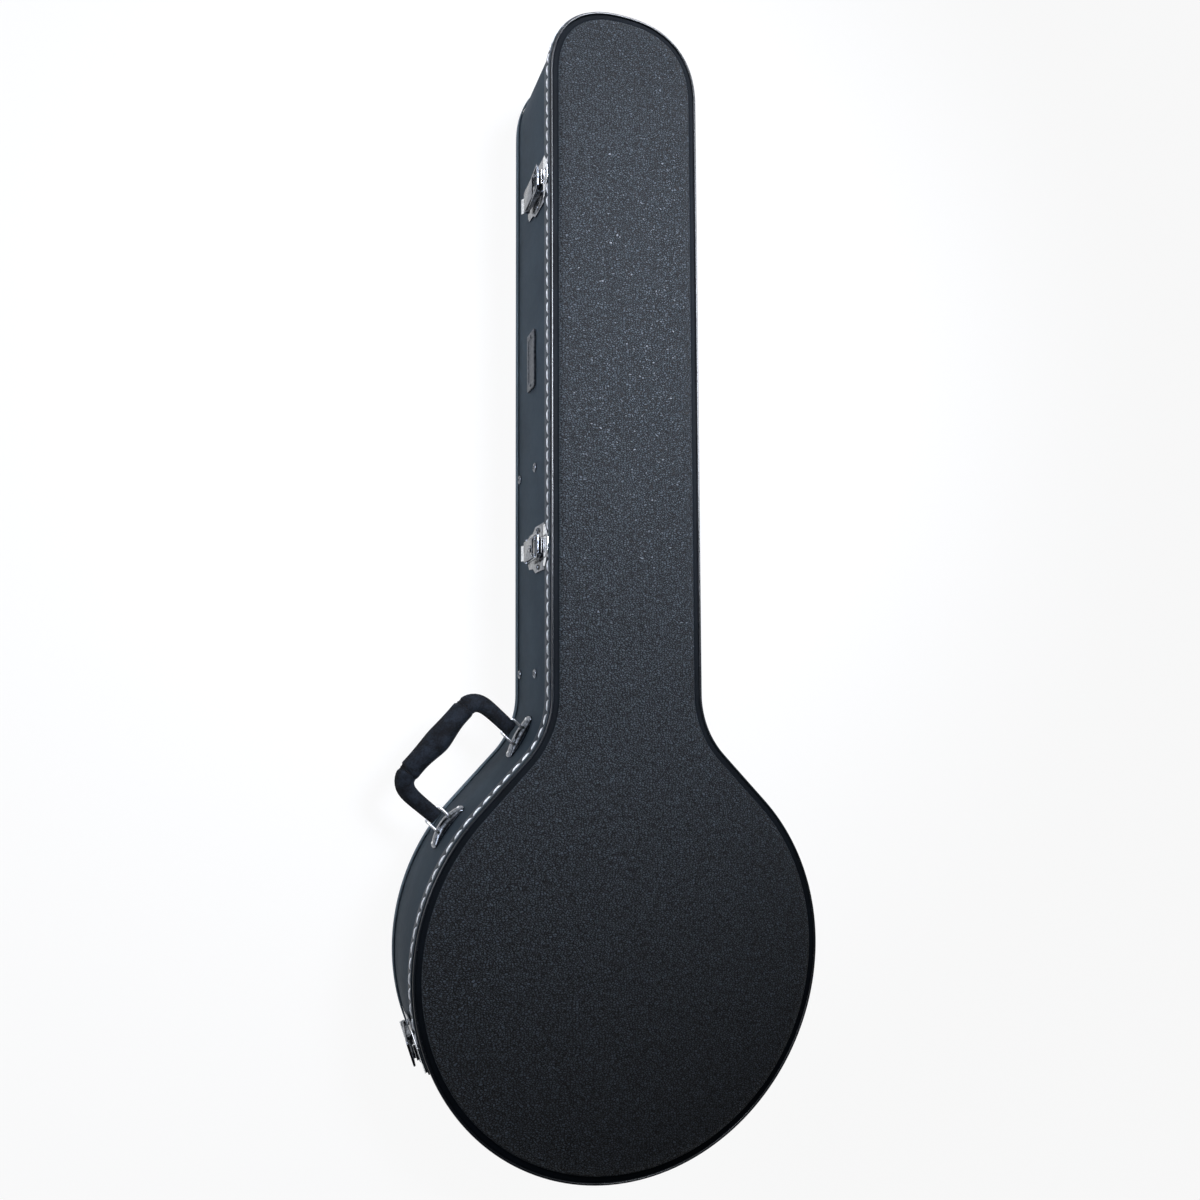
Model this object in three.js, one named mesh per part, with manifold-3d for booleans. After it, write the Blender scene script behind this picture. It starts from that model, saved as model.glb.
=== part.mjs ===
// A hard-shell case for a five-string banjo, lying on its back with the lid up.
// Millimetres. +Z is up through the lid, +Y runs from the round body to the head end,
// -X is the side with the latches and the handle, +X is the hinge side.
// The origin is the centre of the round body on the underside.

import * as THREE from 'three';
import { mergeVertices } from 'three/addons/utils/BufferGeometryUtils.js';
import Module from 'manifold-3d';

const wasm = await Module();
wasm.setup();

// Driving dimensions of the case
const caseLength = 1067;
const bodyDiameter = 384;
const neckWidth = 146;
const shoulderFillet = 82;
const caseDepth = 117;
const lidDepth = 15;
const shoulderAngle = THREE.MathUtils.degToRad(43.8);
const headRoundness = 2.4;

// Clearance between pieces that touch on the real case, and how far cuts run past a face
const gap = 0.3;
// Clearance all round a shaft that turns in its hole
const running = 0.08;
const overrun = 2;

// Steps along the outline: round body, hollow shoulder, rounded head end
const bodySteps = 22;
const shoulderSteps = 7;
const headSteps = 9;
const roundSides = 16;

const boards = { wall: 6, backPanel: 5, lidPanel: 4, edgeRound: 1.4 };
const lining = { thickness: 4, floor: 3, belowSeam: 2 };

const bodyRadius = bodyDiameter / 2;
const neckHalf = neckWidth / 2;
const seam = caseDepth - lidDepth;
const headBase = caseLength - bodyRadius - neckHalf;
const shoulderRun = ((bodyRadius + shoulderFillet) * Math.cos(shoulderAngle) - shoulderFillet - neckHalf)
  / Math.sin(shoulderAngle);
const shoulderCentre = new THREE.Vector2(
  neckHalf + shoulderFillet,
  (bodyRadius + shoulderFillet) * Math.sin(shoulderAngle) + shoulderRun * Math.cos(shoulderAngle),
);

const neckStart = shoulderCentre.y;

function alongNeck(share) {
  return neckStart + (headBase - neckStart) * share;
}

const finishes = {
  vinyl: { color: 0x1d2024, roughness: 0.55, metalness: 0 },
  sideVinyl: { color: 0x33373d, roughness: 0.6, metalness: 0 },
  plush: { color: 0x23252b, roughness: 0.95, metalness: 0 },
  plywood: { color: 0xb08d62, roughness: 0.7, metalness: 0 },
  chrome: { color: 0xc9ccd1, roughness: 0.2, metalness: 1 },
  leather: { color: 0x1b1c20, roughness: 0.6, metalness: 0 },
};

const bankOfMeshes = new THREE.Group();

// Solids

function asManifold(geometry) {
  const bare = geometry.clone();
  bare.deleteAttribute('normal');
  bare.deleteAttribute('uv');
  const merged = mergeVertices(bare, gap / 1000);
  const mesh = new wasm.Mesh({
    numProp: 3,
    vertProperties: new Float32Array(merged.attributes.position.array),
    triVerts: new Uint32Array(merged.index.array),
  });
  return new wasm.Manifold(mesh);
}

function asGeometry(solid) {
  const mesh = solid.getMesh();
  const geometry = new THREE.BufferGeometry();
  geometry.setAttribute('position', new THREE.BufferAttribute(new Float32Array(mesh.vertProperties), 3));
  geometry.setIndex(new THREE.BufferAttribute(new Uint32Array(mesh.triVerts), 1));
  return geometry;
}

function join(...geometries) {
  let solid = asManifold(geometries[0]);
  for (const geometry of geometries.slice(1)) {
    solid = solid.add(asManifold(geometry));
  }
  return asGeometry(solid);
}

function cut(geometry, ...tools) {
  let solid = asManifold(geometry);
  for (const tool of tools) {
    solid = solid.subtract(asManifold(tool));
  }
  return asGeometry(solid);
}

function keepInside(geometry, limit) {
  return asGeometry(asManifold(geometry).intersect(asManifold(limit)));
}

function signedVolume(positions, index) {
  const a = new THREE.Vector3();
  const b = new THREE.Vector3();
  const c = new THREE.Vector3();
  let sum = 0;
  for (let i = 0; i < index.length; i += 3) {
    a.fromArray(positions, index[i] * 3);
    b.fromArray(positions, index[i + 1] * 3);
    c.fromArray(positions, index[i + 2] * 3);
    sum += a.dot(b.cross(c));
  }
  return sum / 6;
}

// Skins a row of point rings. A closed row joins its last ring to its first; an open row gets
// a flat cap on each end, cut into triangles in the plane of the ring's first two axes given.
function skin(rings, closed, plane = ['x', 'y']) {
  const count = rings[0].length;
  const positions = rings.flat().flatMap((point) => point.toArray());
  const index = [];
  const rows = closed ? rings.length : rings.length - 1;
  for (let r = 0; r < rows; r += 1) {
    const low = r * count;
    const high = ((r + 1) % rings.length) * count;
    for (let i = 0; i < count; i += 1) {
      const next = (i + 1) % count;
      index.push(low + i, low + next, high + next);
      index.push(low + i, high + next, high + i);
    }
  }
  if (!closed) {
    const ends = [[0, true], [rings.length - 1, false]];
    for (const [row, reversed] of ends) {
      const flat = rings[row].map((point) => new THREE.Vector2(point[plane[0]], point[plane[1]]));
      const turned = THREE.ShapeUtils.isClockWise(flat);
      if (turned) {
        flat.reverse();
      }
      const last = count - 1;
      const place = (i) => row * count + (turned ? last - i : i);
      const faces = THREE.ShapeUtils.triangulateShape(flat, []);
      const flip = reversed !== turned;
      for (const [a, b, c] of faces) {
        index.push(place(a), flip ? place(c) : place(b), flip ? place(b) : place(c));
      }
    }
  }
  if (signedVolume(positions, index) < 0) {
    for (let i = 0; i < index.length; i += 3) {
      [index[i + 1], index[i + 2]] = [index[i + 2], index[i + 1]];
    }
  }
  const geometry = new THREE.BufferGeometry();
  geometry.setAttribute('position', new THREE.BufferAttribute(new Float32Array(positions), 3));
  geometry.setIndex(index);
  return geometry;
}

function extrude(points, depth) {
  return new THREE.ExtrudeGeometry(new THREE.Shape(points), { depth, bevelEnabled: false });
}

function box(low, high) {
  const size = new THREE.Vector3().subVectors(high, low);
  const geometry = new THREE.BoxGeometry(size.x, size.y, size.z);
  const centre = new THREE.Vector3().addVectors(low, high).multiplyScalar(0.5);
  return geometry.translate(centre.x, centre.y, centre.z);
}

// A shape drawn in x and z, extruded along y between two values
function sideShape(points, from, to) {
  const flat = points.map(([x, z]) => new THREE.Vector2(x, z));
  const geometry = extrude(flat, to - from);
  geometry.rotateX(Math.PI / 2);
  return geometry.translate(0, to, 0);
}

// A shape drawn in y and z, extruded along x between two values
function frontShape(points, from, to) {
  const flat = points.map(([y, z]) => new THREE.Vector2(y, z));
  const geometry = extrude(flat, to - from);
  geometry.rotateX(Math.PI / 2);
  geometry.rotateZ(Math.PI / 2);
  return geometry.translate(from, 0, 0);
}

function rodAlongX(radius, from, to, y, z, sides = roundSides) {
  const geometry = new THREE.CylinderGeometry(radius, radius, to - from, sides);
  geometry.rotateZ(Math.PI / 2);
  return geometry.translate((from + to) / 2, y, z);
}

function rodAlongY(radius, from, to, x, z, sides = roundSides) {
  const geometry = new THREE.CylinderGeometry(radius, radius, to - from, sides);
  return geometry.translate(x, (from + to) / 2, z);
}

// A domed rivet or screw along x: head on a face at headFrom, shank reaching in to tip
function rivet(head, shank, headFrom, tip, y, z) {
  const profile = [
    new THREE.Vector2(0, tip),
    new THREE.Vector2(shank, tip),
    new THREE.Vector2(shank, headFrom),
    new THREE.Vector2(head.radius, headFrom),
    new THREE.Vector2(head.radius, headFrom + head.height * 0.35),
    new THREE.Vector2(head.radius * 0.72, headFrom + head.height * 0.8),
    new THREE.Vector2(0, headFrom + head.height),
  ];
  const geometry = new THREE.LatheGeometry(profile, roundSides);
  geometry.rotateZ(-Math.PI / 2);
  return geometry.translate(0, y, z);
}

// Outline of the case seen from above, moved outwards by an offset. It starts at the foot of the
// round body and runs up the hinge side, round the head and down the latch side.
function outline(offset) {
  const radius = bodyRadius + offset;
  const half = neckHalf + offset;
  const fillet = shoulderFillet - offset;
  const side = [];
  for (let i = 0; i <= bodySteps; i += 1) {
    const angle = -Math.PI / 2 + (shoulderAngle + Math.PI / 2) * (i / bodySteps);
    side.push(new THREE.Vector2(radius * Math.cos(angle), radius * Math.sin(angle)));
  }
  for (let i = 0; i <= shoulderSteps; i += 1) {
    const angle = shoulderAngle * (1 - i / shoulderSteps);
    side.push(new THREE.Vector2(
      shoulderCentre.x - fillet * Math.cos(angle),
      shoulderCentre.y - fillet * Math.sin(angle),
    ));
  }
  for (let i = 0; i <= headSteps; i += 1) {
    const angle = (Math.PI / 2) * (i / headSteps);
    const across = i === headSteps ? 0 : Math.cos(angle) ** (2 / headRoundness);
    side.push(new THREE.Vector2(half * across, headBase + half * Math.sin(angle) ** (2 / headRoundness)));
  }
  side[0].x = 0;
  const mirrored = side.slice(1, -1).reverse().map((point) => new THREE.Vector2(-point.x, point.y));
  return side.concat(mirrored);
}

const headIndex = bodySteps + shoulderSteps + 2 + headSteps;
const outlineCount = headIndex * 2;

function ringAt(offset, height) {
  return outline(offset).map((point) => new THREE.Vector3(point.x, point.y, height));
}

// A panel or tray: rings from the bottom face to the top face, both capped
function panel(profile) {
  return skin(profile.map(([offset, height]) => ringAt(offset, height)), false);
}

// A closed hoop that runs all round the case
function hoop(profile) {
  return skin(profile.map(([offset, height]) => ringAt(offset, height)), true);
}

// A strip that runs along part of the outline, from one outline point to another
function strip(profile, from, to) {
  const rails = profile.map(([offset, height]) => ringAt(offset, height));
  const rings = [];
  for (let i = from; i <= to; i += 1) {
    rings.push(rails.map((rail) => rail[i % outlineCount].clone()));
  }
  return skin(rings, false, ['x', 'z']);
}

// Places on the side wall. A place has a point at the foot of its local axes and the direction
// that the wall faces there: local x points out of the case, local y runs along it, z is up.
function place(point, facing, height) {
  const matrix = new THREE.Matrix4().makeRotationZ(facing);
  return matrix.setPosition(point.x, point.y, height);
}

function onNeck(y, height) {
  return place(new THREE.Vector2(-neckHalf, y), Math.PI, height);
}

function onBody(angle, height) {
  const point = new THREE.Vector2(bodyRadius * Math.cos(angle), bodyRadius * Math.sin(angle));
  return place(point, angle, height);
}

function onShoulder(angle, height) {
  const point = new THREE.Vector2(
    -shoulderCentre.x + shoulderFillet * Math.cos(angle),
    shoulderCentre.y + shoulderFillet * Math.sin(angle),
  );
  return place(point, angle + Math.PI, height);
}

function add(name, geometry, finish, matrix) {
  const look = finishes[finish];
  const mesh = new THREE.Mesh(geometry, new THREE.MeshStandardMaterial(look));
  mesh.name = name;
  if (matrix) {
    mesh.applyMatrix4(matrix);
  }
  bankOfMeshes.add(mesh);
}

const wallHoles = [];

function drillWall(matrix, y, z, radius, depth) {
  wallHoles.push(rodAlongX(radius, -depth, overrun, y, z).applyMatrix4(matrix));
}

// Base: back panel, side wall, welt and linings

const welt = { height: 7.8, thickness: 1.5, lift: 1.2, round: 1.2 };

function makeWelt() {
  const foot = welt.lift;
  const head = welt.lift + welt.height;
  const out = gap + welt.thickness;
  return hoop([
    [gap, foot],
    [out - welt.round / 2, foot + welt.round / 2],
    [out, foot + welt.round * 1.6],
    [out, head - welt.round * 1.6],
    [out - welt.round / 2, head - welt.round / 2],
    [gap, head],
  ]);
}

const floorTop = boards.backPanel + gap + lining.floor;
const liningFace = boards.wall + gap + lining.thickness;

add('back_panel', panel([
  [-boards.edgeRound, 0],
  [0, boards.edgeRound],
  [0, boards.backPanel],
]), 'sideVinyl');
add('back_edge_welt', makeWelt(), 'sideVinyl');
add('floor_lining', panel([
  [-boards.wall - gap, boards.backPanel + gap],
  [-boards.wall - gap, floorTop],
]), 'plush');

// Accessory compartment in the neck: two cradle boards, a lid, its hinge rod and pull tab

const compartment = {
  lowerY: alongNeck(0.035),
  upperY: alongNeck(0.377),
  boardThickness: 9,
  boardTop: 88,
  notchWidth: 70,
  notchFloor: 52,
  notchRound: 24,
  ledgeDepth: 8,
  ledgeThickness: 6,
  lidThickness: 6,
  lidTop: 46,
  rodRadius: 1.5,
  rodInset: 4.2,
  ledgeStop: 12,
  endClearance: 1,
};

const screw = { head: { radius: 4.3, height: 2.2 }, shank: 1.6, lowHeight: 14, highHeight: 68, bite: 12 };

const boardHalf = neckHalf - liningFace - gap;
const rodX = boardHalf - compartment.rodInset;
const rodZ = compartment.lidTop - compartment.lidThickness / 2;
const boardFoot = floorTop + gap;

function cradleBoard(inward) {
  const half = compartment.boardThickness / 2;
  const notchHalf = compartment.notchWidth / 2;
  const block = box(
    new THREE.Vector3(-boardHalf, -half, boardFoot),
    new THREE.Vector3(boardHalf, half, compartment.boardTop),
  );
  const ledgeTop = compartment.lidTop - compartment.lidThickness - gap;
  const reach = half + compartment.ledgeDepth;
  const ledge = box(
    new THREE.Vector3(-boardHalf, inward > 0 ? 0 : -reach, ledgeTop - compartment.ledgeThickness),
    new THREE.Vector3(boardHalf - compartment.ledgeStop, inward > 0 ? reach : 0, ledgeTop),
  );
  const notch = sideShape([
    [-notchHalf, compartment.boardTop + overrun],
    [-notchHalf, compartment.notchFloor + compartment.notchRound],
    [-notchHalf + compartment.notchRound * 0.3, compartment.notchFloor + compartment.notchRound * 0.3],
    [-notchHalf + compartment.notchRound, compartment.notchFloor],
    [notchHalf - compartment.notchRound, compartment.notchFloor],
    [notchHalf - compartment.notchRound * 0.3, compartment.notchFloor + compartment.notchRound * 0.3],
    [notchHalf, compartment.notchFloor + compartment.notchRound],
    [notchHalf, compartment.boardTop + overrun],
  ], -half - overrun, half + overrun);
  const rodBore = rodAlongY(compartment.rodRadius + running, -half - overrun, half + overrun, rodX, rodZ);
  const bores = [screw.lowHeight, screw.highHeight].map((height) => rodAlongX(
    screw.shank + gap,
    -boardHalf - overrun,
    -boardHalf + screw.bite + gap,
    0,
    height,
  ));
  return cut(join(block, ledge), notch, rodBore, ...bores);
}

const liningHoles = [];

function makeScrew(name, y, height) {
  const wallPlace = onNeck(y, height);
  const tip = -liningFace - gap - screw.bite;
  add(name, rivet(screw.head, screw.shank, gap, tip, 0, 0), 'chrome', wallPlace);
  drillWall(wallPlace, 0, 0, screw.shank + gap, boards.wall + overrun);
  const bore = rodAlongX(screw.shank + gap, -liningFace - overrun, 0, 0, 0);
  liningHoles.push(bore.applyMatrix4(wallPlace));
}

add('cradle_board_lower', cradleBoard(1).translate(0, compartment.lowerY, 0), 'plush');
add('cradle_board_upper', cradleBoard(-1).translate(0, compartment.upperY, 0), 'plush');
makeScrew('cradle_screw_1', compartment.upperY, screw.highHeight);
makeScrew('cradle_screw_2', compartment.upperY, screw.lowHeight);
makeScrew('cradle_screw_3', compartment.lowerY, screw.highHeight);
makeScrew('cradle_screw_4', compartment.lowerY, screw.lowHeight);

add('wall_lining', cut(hoop([
  [-boards.wall - gap, floorTop + gap],
  [-boards.wall - gap, seam - lining.belowSeam],
  [-liningFace, seam - lining.belowSeam],
  [-liningFace, floorTop + gap],
]), ...liningHoles), 'plush');

function compartmentLid() {
  const inset = compartment.boardThickness / 2 + compartment.endClearance;
  const low = new THREE.Vector3(
    -boardHalf + compartment.endClearance,
    compartment.lowerY + inset,
    compartment.lidTop - compartment.lidThickness,
  );
  const high = new THREE.Vector3(
    boardHalf - compartment.endClearance,
    compartment.upperY - inset,
    compartment.lidTop,
  );
  const bore = rodAlongY(compartment.rodRadius + running, low.y - overrun, high.y + overrun, rodX, rodZ);
  return cut(box(low, high), bore);
}

add('compartment_lid', compartmentLid(), 'plush');
const rodReach = compartment.boardThickness / 2;
add('compartment_hinge_rod', rodAlongY(
  compartment.rodRadius,
  compartment.lowerY - rodReach,
  compartment.upperY + rodReach,
  rodX,
  rodZ,
), 'chrome');

const pullTab = { length: 26, width: 16, thickness: 1.2, overhang: 1 };

function makePullTab() {
  const middle = (compartment.lowerY + compartment.upperY) / 2;
  const edge = -boardHalf + compartment.endClearance + pullTab.overhang;
  const half = pullTab.width / 2;
  const tab = extrude([
    new THREE.Vector2(edge, middle - half),
    new THREE.Vector2(edge + pullTab.length - half, middle - half),
    new THREE.Vector2(edge + pullTab.length - half * 0.3, middle - half * 0.7),
    new THREE.Vector2(edge + pullTab.length, middle),
    new THREE.Vector2(edge + pullTab.length - half * 0.3, middle + half * 0.7),
    new THREE.Vector2(edge + pullTab.length - half, middle + half),
    new THREE.Vector2(edge, middle + half),
  ], pullTab.thickness);
  return tab.translate(0, 0, compartment.lidTop + gap);
}

add('compartment_pull_tab', makePullTab(), 'leather');

// Lid: rim, panel, padded cover, piping, stitched valance and lining

const cover = { edgeInset: 3.6, crown: 5.4, roll: 10, spread: 46 };
const piping = { radius: 1.2, inset: 0.9 };
const valance = { thickness: 1.2, fold: 1.6 };
const valanceStart = headIndex - headSteps + 3;
const valanceEnd = outlineCount - Math.round(bodySteps * 0.5);

add('lid_rim', hoop([
  [0, seam + gap],
  [0, caseDepth - boards.lidPanel - gap],
  [-boards.wall, caseDepth - boards.lidPanel - gap],
  [-boards.wall, seam + gap],
]), 'vinyl');
add('lid_panel', panel([
  [0, caseDepth - boards.lidPanel],
  [0, caseDepth - boards.edgeRound],
  [-boards.edgeRound * 0.35, caseDepth - boards.edgeRound * 0.35],
  [-boards.edgeRound, caseDepth],
]), 'vinyl');
add('lid_lining', panel([
  [-boards.wall - gap, caseDepth - boards.lidPanel - gap - lining.floor],
  [-boards.wall - gap, caseDepth - boards.lidPanel - gap],
]), 'plush');

const coverFoot = caseDepth + gap;
const crownShares = [[0, 0], [0, 0.18], [0.06, 0.48], [0.2, 0.72], [0.48, 0.88], [1, 0.95]];
add('lid_cover', panel([
  ...crownShares.map(([across, up]) => [
    -cover.edgeInset - cover.roll * across,
    coverFoot + cover.crown * up,
  ]),
  [-cover.edgeInset - cover.spread, coverFoot + cover.crown],
]), 'vinyl');

function pipingSection() {
  const section = [];
  for (let i = 0; i < 8; i += 1) {
    const angle = (i / 8) * Math.PI * 2;
    section.push([
      -piping.inset + piping.radius * Math.cos(angle),
      caseDepth + gap + piping.radius * (1 + Math.sin(angle)),
    ]);
  }
  return section;
}

add('lid_piping', hoop(pipingSection()), 'vinyl');
add('stitched_valance', strip([
  [gap, seam + gap],
  [gap + valance.thickness, seam + gap],
  [gap + valance.thickness, caseDepth - valance.fold],
  [gap + valance.thickness * 0.5, caseDepth - valance.fold * 0.3],
  [gap, caseDepth],
], valanceStart, valanceEnd), 'sideVinyl');

// Lid hinges. Their common axis is the straight line that touches the round body and the
// head end on the hinge side, so the whole lid lies on one side of it.

const hinge = {
  bodyLength: 44,
  headLength: 30,
  leaf: 1,
  knuckle: 2.4,
  pin: 1,
  baseHeight: 18,
  lidHeight: 8.5,
  knuckles: 5,
};

function headReach(angle) {
  const power = headRoundness / (headRoundness - 1);
  const sum = Math.cos(angle) ** power + Math.sin(angle) ** power;
  return headBase * Math.sin(angle) + neckHalf * sum ** (1 / power);
}

function findHingeAngle() {
  let low = 0;
  let high = Math.PI / 4;
  for (let i = 0; i < 40; i += 1) {
    const middle = (low + high) / 2;
    if (headReach(middle) < bodyRadius) {
      low = middle;
    } else {
      high = middle;
    }
  }
  return low;
}

const hingeAngle = findHingeAngle();
const hingeOut = gap + hinge.leaf + gap + hinge.knuckle;

function headTouch() {
  const power = headRoundness / (headRoundness - 1);
  const sum = Math.cos(hingeAngle) ** power + Math.sin(hingeAngle) ** power;
  const scale = neckHalf * sum ** (1 / power - 1);
  return new THREE.Vector2(
    scale * Math.cos(hingeAngle) ** (power - 1),
    headBase + scale * Math.sin(hingeAngle) ** (power - 1),
  );
}

function hingeLeaf(length, reach, turned, first) {
  const half = length / 2;
  const pitch = length / hinge.knuckles;
  const side = turned ? 1 : -1;
  const levels = (a, b) => (side > 0 ? [a, b] : [-b, -a]);
  const [plateLow, plateHigh] = levels(gap, reach);
  const [webLow, webHigh] = levels(hinge.knuckle - hinge.leaf, hinge.knuckle);
  const parts = [box(
    new THREE.Vector3(gap, -half, plateLow),
    new THREE.Vector3(gap + hinge.leaf, half, plateHigh),
  )];
  for (let i = first; i < hinge.knuckles; i += 2) {
    const from = -half + pitch * i + gap / 2;
    const to = from + pitch - gap;
    parts.push(box(
      new THREE.Vector3(gap, from, webLow),
      new THREE.Vector3(hingeOut, to, webHigh),
    ));
    parts.push(rodAlongY(hinge.knuckle, from, to, hingeOut, 0));
  }
  const bore = rodAlongY(hinge.pin + running, -half - overrun, half + overrun, hingeOut, 0);
  return cut(join(...parts), bore);
}

function addHinge(name, length, matrix) {
  add(`${name}_base_leaf`, hingeLeaf(length, hinge.baseHeight, false, 0), 'chrome', matrix);
  add(`${name}_lid_leaf`, hingeLeaf(length, hinge.lidHeight, true, 1), 'chrome', matrix);
  const half = length / 2 + hinge.pin / 2;
  add(`${name}_pin`, rodAlongY(hinge.pin, -half, half, hingeOut, 0), 'chrome', matrix);
}

addHinge('body_hinge', hinge.bodyLength, onBody(hingeAngle, seam));
addHinge('head_hinge', hinge.headLength, place(headTouch(), hingeAngle, seam));

// Latches: a stepped plate on the side wall, a lever, a yoke that the lever pulls, and a
// keeper on the lid. Local z is measured from the seam.

const latch = {
  thickness: 1.2,
  plateTop: 1,
  plateHeight: 54,
  plateHalf: 21.5,
  earInner: 6.2,
  earThickness: 1.8,
  earRadius: 2.9,
  pivotOut: 5.4,
  pivotDown: 13,
  pin: 1.5,
  flange: 1.4,
  flangeRadius: 3.1,
  faceDrop: 4.4,
  faceLength: 45,
  lipIn: 1.7,
  lipHalf: 7.4,
  yokeDrop: 30,
  yokeLeg: 1.6,
  yokeWidth: 2.6,
  trunnion: 1.1,
  barRadius: 1.5,
  barRise: 2.6,
  keeperHalf: 19,
  keeperHeight: 13.2,
  keeperFoot: 0.7,
  lipWidth: 14,
  lipThickness: 1.6,
  rivetY: 17.2,
  rivetDown: 21,
};
const latchRivet = { head: { radius: 2.6, height: 1.4 }, shank: 1.2, bite: 5 };
const latchPlaces = [
  { name: 'latch_upper', matrix: onNeck(alongNeck(0.84), seam) },
  { name: 'latch_middle', matrix: onNeck(alongNeck(0.2375), seam) },
  { name: 'latch_lower', matrix: onBody(THREE.MathUtils.degToRad(198), seam) },
];

const plateFace = gap + latch.thickness;
const flangeInner = latch.earInner + latch.earThickness + gap;
const flangeOuter = flangeInner + latch.flange;
const yokeInner = flangeOuter + gap;
const yokeOuter = yokeInner + latch.yokeLeg;
const yokeDown = latch.pivotDown + latch.yokeDrop;
const keeperBack = gap + valance.thickness + gap;
const keeperFace = keeperBack + latch.thickness;
const keeperLip = 5.4;
const barOut = keeperLip + gap + latch.barRadius;

function latchPlate() {
  const half = latch.plateHalf;
  const tall = latch.plateHeight;
  const shares = [[1, 0], [1, 0.54], [0.78, 0.68], [0.75, 0.92], [0.5, 1]];
  const right = shares.map(([across, down]) => [half * across, -latch.plateTop - tall * down]);
  const left = right.slice().reverse().map(([y, z]) => [-y, z]);
  const plate = frontShape(right.concat(left), gap, plateFace);
  const ears = [-1, 1].map((side) => {
    const near = side * latch.earInner;
    const far = side * (latch.earInner + latch.earThickness);
    const low = Math.min(near, far);
    const high = Math.max(near, far);
    const root = box(
      new THREE.Vector3(gap, low, -latch.pivotDown - latch.earRadius),
      new THREE.Vector3(latch.pivotOut, high, -latch.pivotDown + latch.earRadius),
    );
    return join(root, rodAlongY(latch.earRadius, low, high, latch.pivotOut, -latch.pivotDown));
  });
  const bore = rodAlongY(
    latch.pin + running,
    -flangeOuter,
    flangeOuter,
    latch.pivotOut,
    -latch.pivotDown,
  );
  const holes = [-1, 1].map((side) => rodAlongX(
    latchRivet.shank + gap,
    0,
    plateFace + overrun,
    side * latch.rivetY,
    -latch.rivetDown,
  ));
  return cut(join(plate, ...ears), bore, ...holes);
}

function latchLever(locked) {
  const x = latch.pivotOut;
  const z = -latch.pivotDown;
  const out = latch.flangeRadius;
  const inner = out - latch.thickness;
  const end = -latch.faceLength;
  const face = sideShape([
    [x + inner, z - latch.faceDrop],
    [x + out, z - latch.faceDrop],
    [x + out - latch.lipIn * 0.5, z + end * 0.78],
    [x + out - latch.lipIn * 1.4, z + end * 0.86],
    [x + out - latch.lipIn, z + end],
    [x + inner - latch.lipIn, z + end],
    [x + inner - latch.lipIn * 1.4, z + end * 0.87],
    [x + inner - latch.lipIn * 0.5, z + end * 0.76],
  ], -flangeOuter, flangeOuter);
  const waist = frontShape([
    [flangeOuter, z + out + overrun],
    [flangeOuter, z + end * 0.74],
    [latch.lipHalf, z + end * 0.87],
    [latch.lipHalf, z + end * 1.2],
    [-latch.lipHalf, z + end * 1.2],
    [-latch.lipHalf, z + end * 0.87],
    [-flangeOuter, z + end * 0.74],
    [-flangeOuter, z + out + overrun],
  ], 0, x + out + overrun);
  const sides = [-1, 1].map((side) => {
    const low = side > 0 ? flangeInner : -flangeOuter;
    const high = low + latch.flange;
    const web = sideShape([
      [x + out, z],
      [x - out, z],
      [x - out * 0.9, z - latch.yokeDrop * 0.3],
      [x - out * 0.7, z - latch.yokeDrop * 1.04],
      [x - out * 0.2, z - latch.yokeDrop * 1.11],
      [x + out - latch.lipIn * 0.5, z - latch.yokeDrop * 1.14],
    ], low, high);
    return join(web, rodAlongY(out, low, high, x, z));
  });
  const pinBore = rodAlongY(latch.pin + running, -flangeOuter - overrun, flangeOuter + overrun, x, z);
  const yokeBores = [-1, 1].map((side) => {
    const low = side > 0 ? flangeInner - overrun : -flangeOuter - overrun;
    return rodAlongY(
      latch.trunnion + running,
      low,
      low + latch.flange + overrun * 2,
      x,
      z - latch.yokeDrop,
    );
  });
  const trimmed = keepInside(join(face, ...sides), waist);
  const lockBore = rodAlongX(lock.radius + running, x, x + out + overrun * 2, 0, -lock.down);
  return locked ? cut(trimmed, pinBore, ...yokeBores, lockBore) : cut(trimmed, pinBore, ...yokeBores);
}

function latchYoke() {
  const x = latch.pivotOut;
  const z = -yokeDown;
  const half = latch.yokeWidth / 2;
  const legs = [-1, 1].map((side) => {
    const low = side > 0 ? yokeInner : -yokeOuter;
    const high = low + latch.yokeLeg;
    const leg = sideShape([
      [x - half, z],
      [x + half, z],
      [barOut + half, latch.barRise],
      [barOut - half, latch.barRise],
    ], low, high);
    const eye = rodAlongY(latch.yokeWidth * 0.9, low, high, x, z);
    const stubLow = side > 0 ? flangeInner + gap : -yokeInner - gap;
    const stub = rodAlongY(latch.trunnion, stubLow, stubLow + latch.flange + gap, x, z);
    return join(leg, eye, stub);
  });
  const bar = rodAlongY(latch.barRadius, -yokeOuter, yokeOuter, barOut, latch.barRise);
  return join(bar, ...legs);
}

function latchKeeper() {
  const foot = latch.keeperFoot;
  const top = foot + latch.keeperHeight;
  const half = latch.keeperHalf;
  const plate = frontShape([
    [half, foot],
    [half, foot + latch.keeperHeight * 0.35],
    [half * 0.32, top],
    [-half * 0.32, top],
    [-half, foot + latch.keeperHeight * 0.35],
    [-half, foot],
  ], keeperBack, keeperFace);
  const lipLow = latch.barRise - latch.lipThickness / 2;
  const lip = box(
    new THREE.Vector3(keeperBack, -latch.lipWidth / 2, lipLow),
    new THREE.Vector3(keeperLip, latch.lipWidth / 2, lipLow + latch.lipThickness),
  );
  return join(plate, lip);
}

const lock = { radius: 3.5, down: 24, proud: 0.7, slotWidth: 1, slotLength: 4, slotDepth: 1 };

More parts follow.
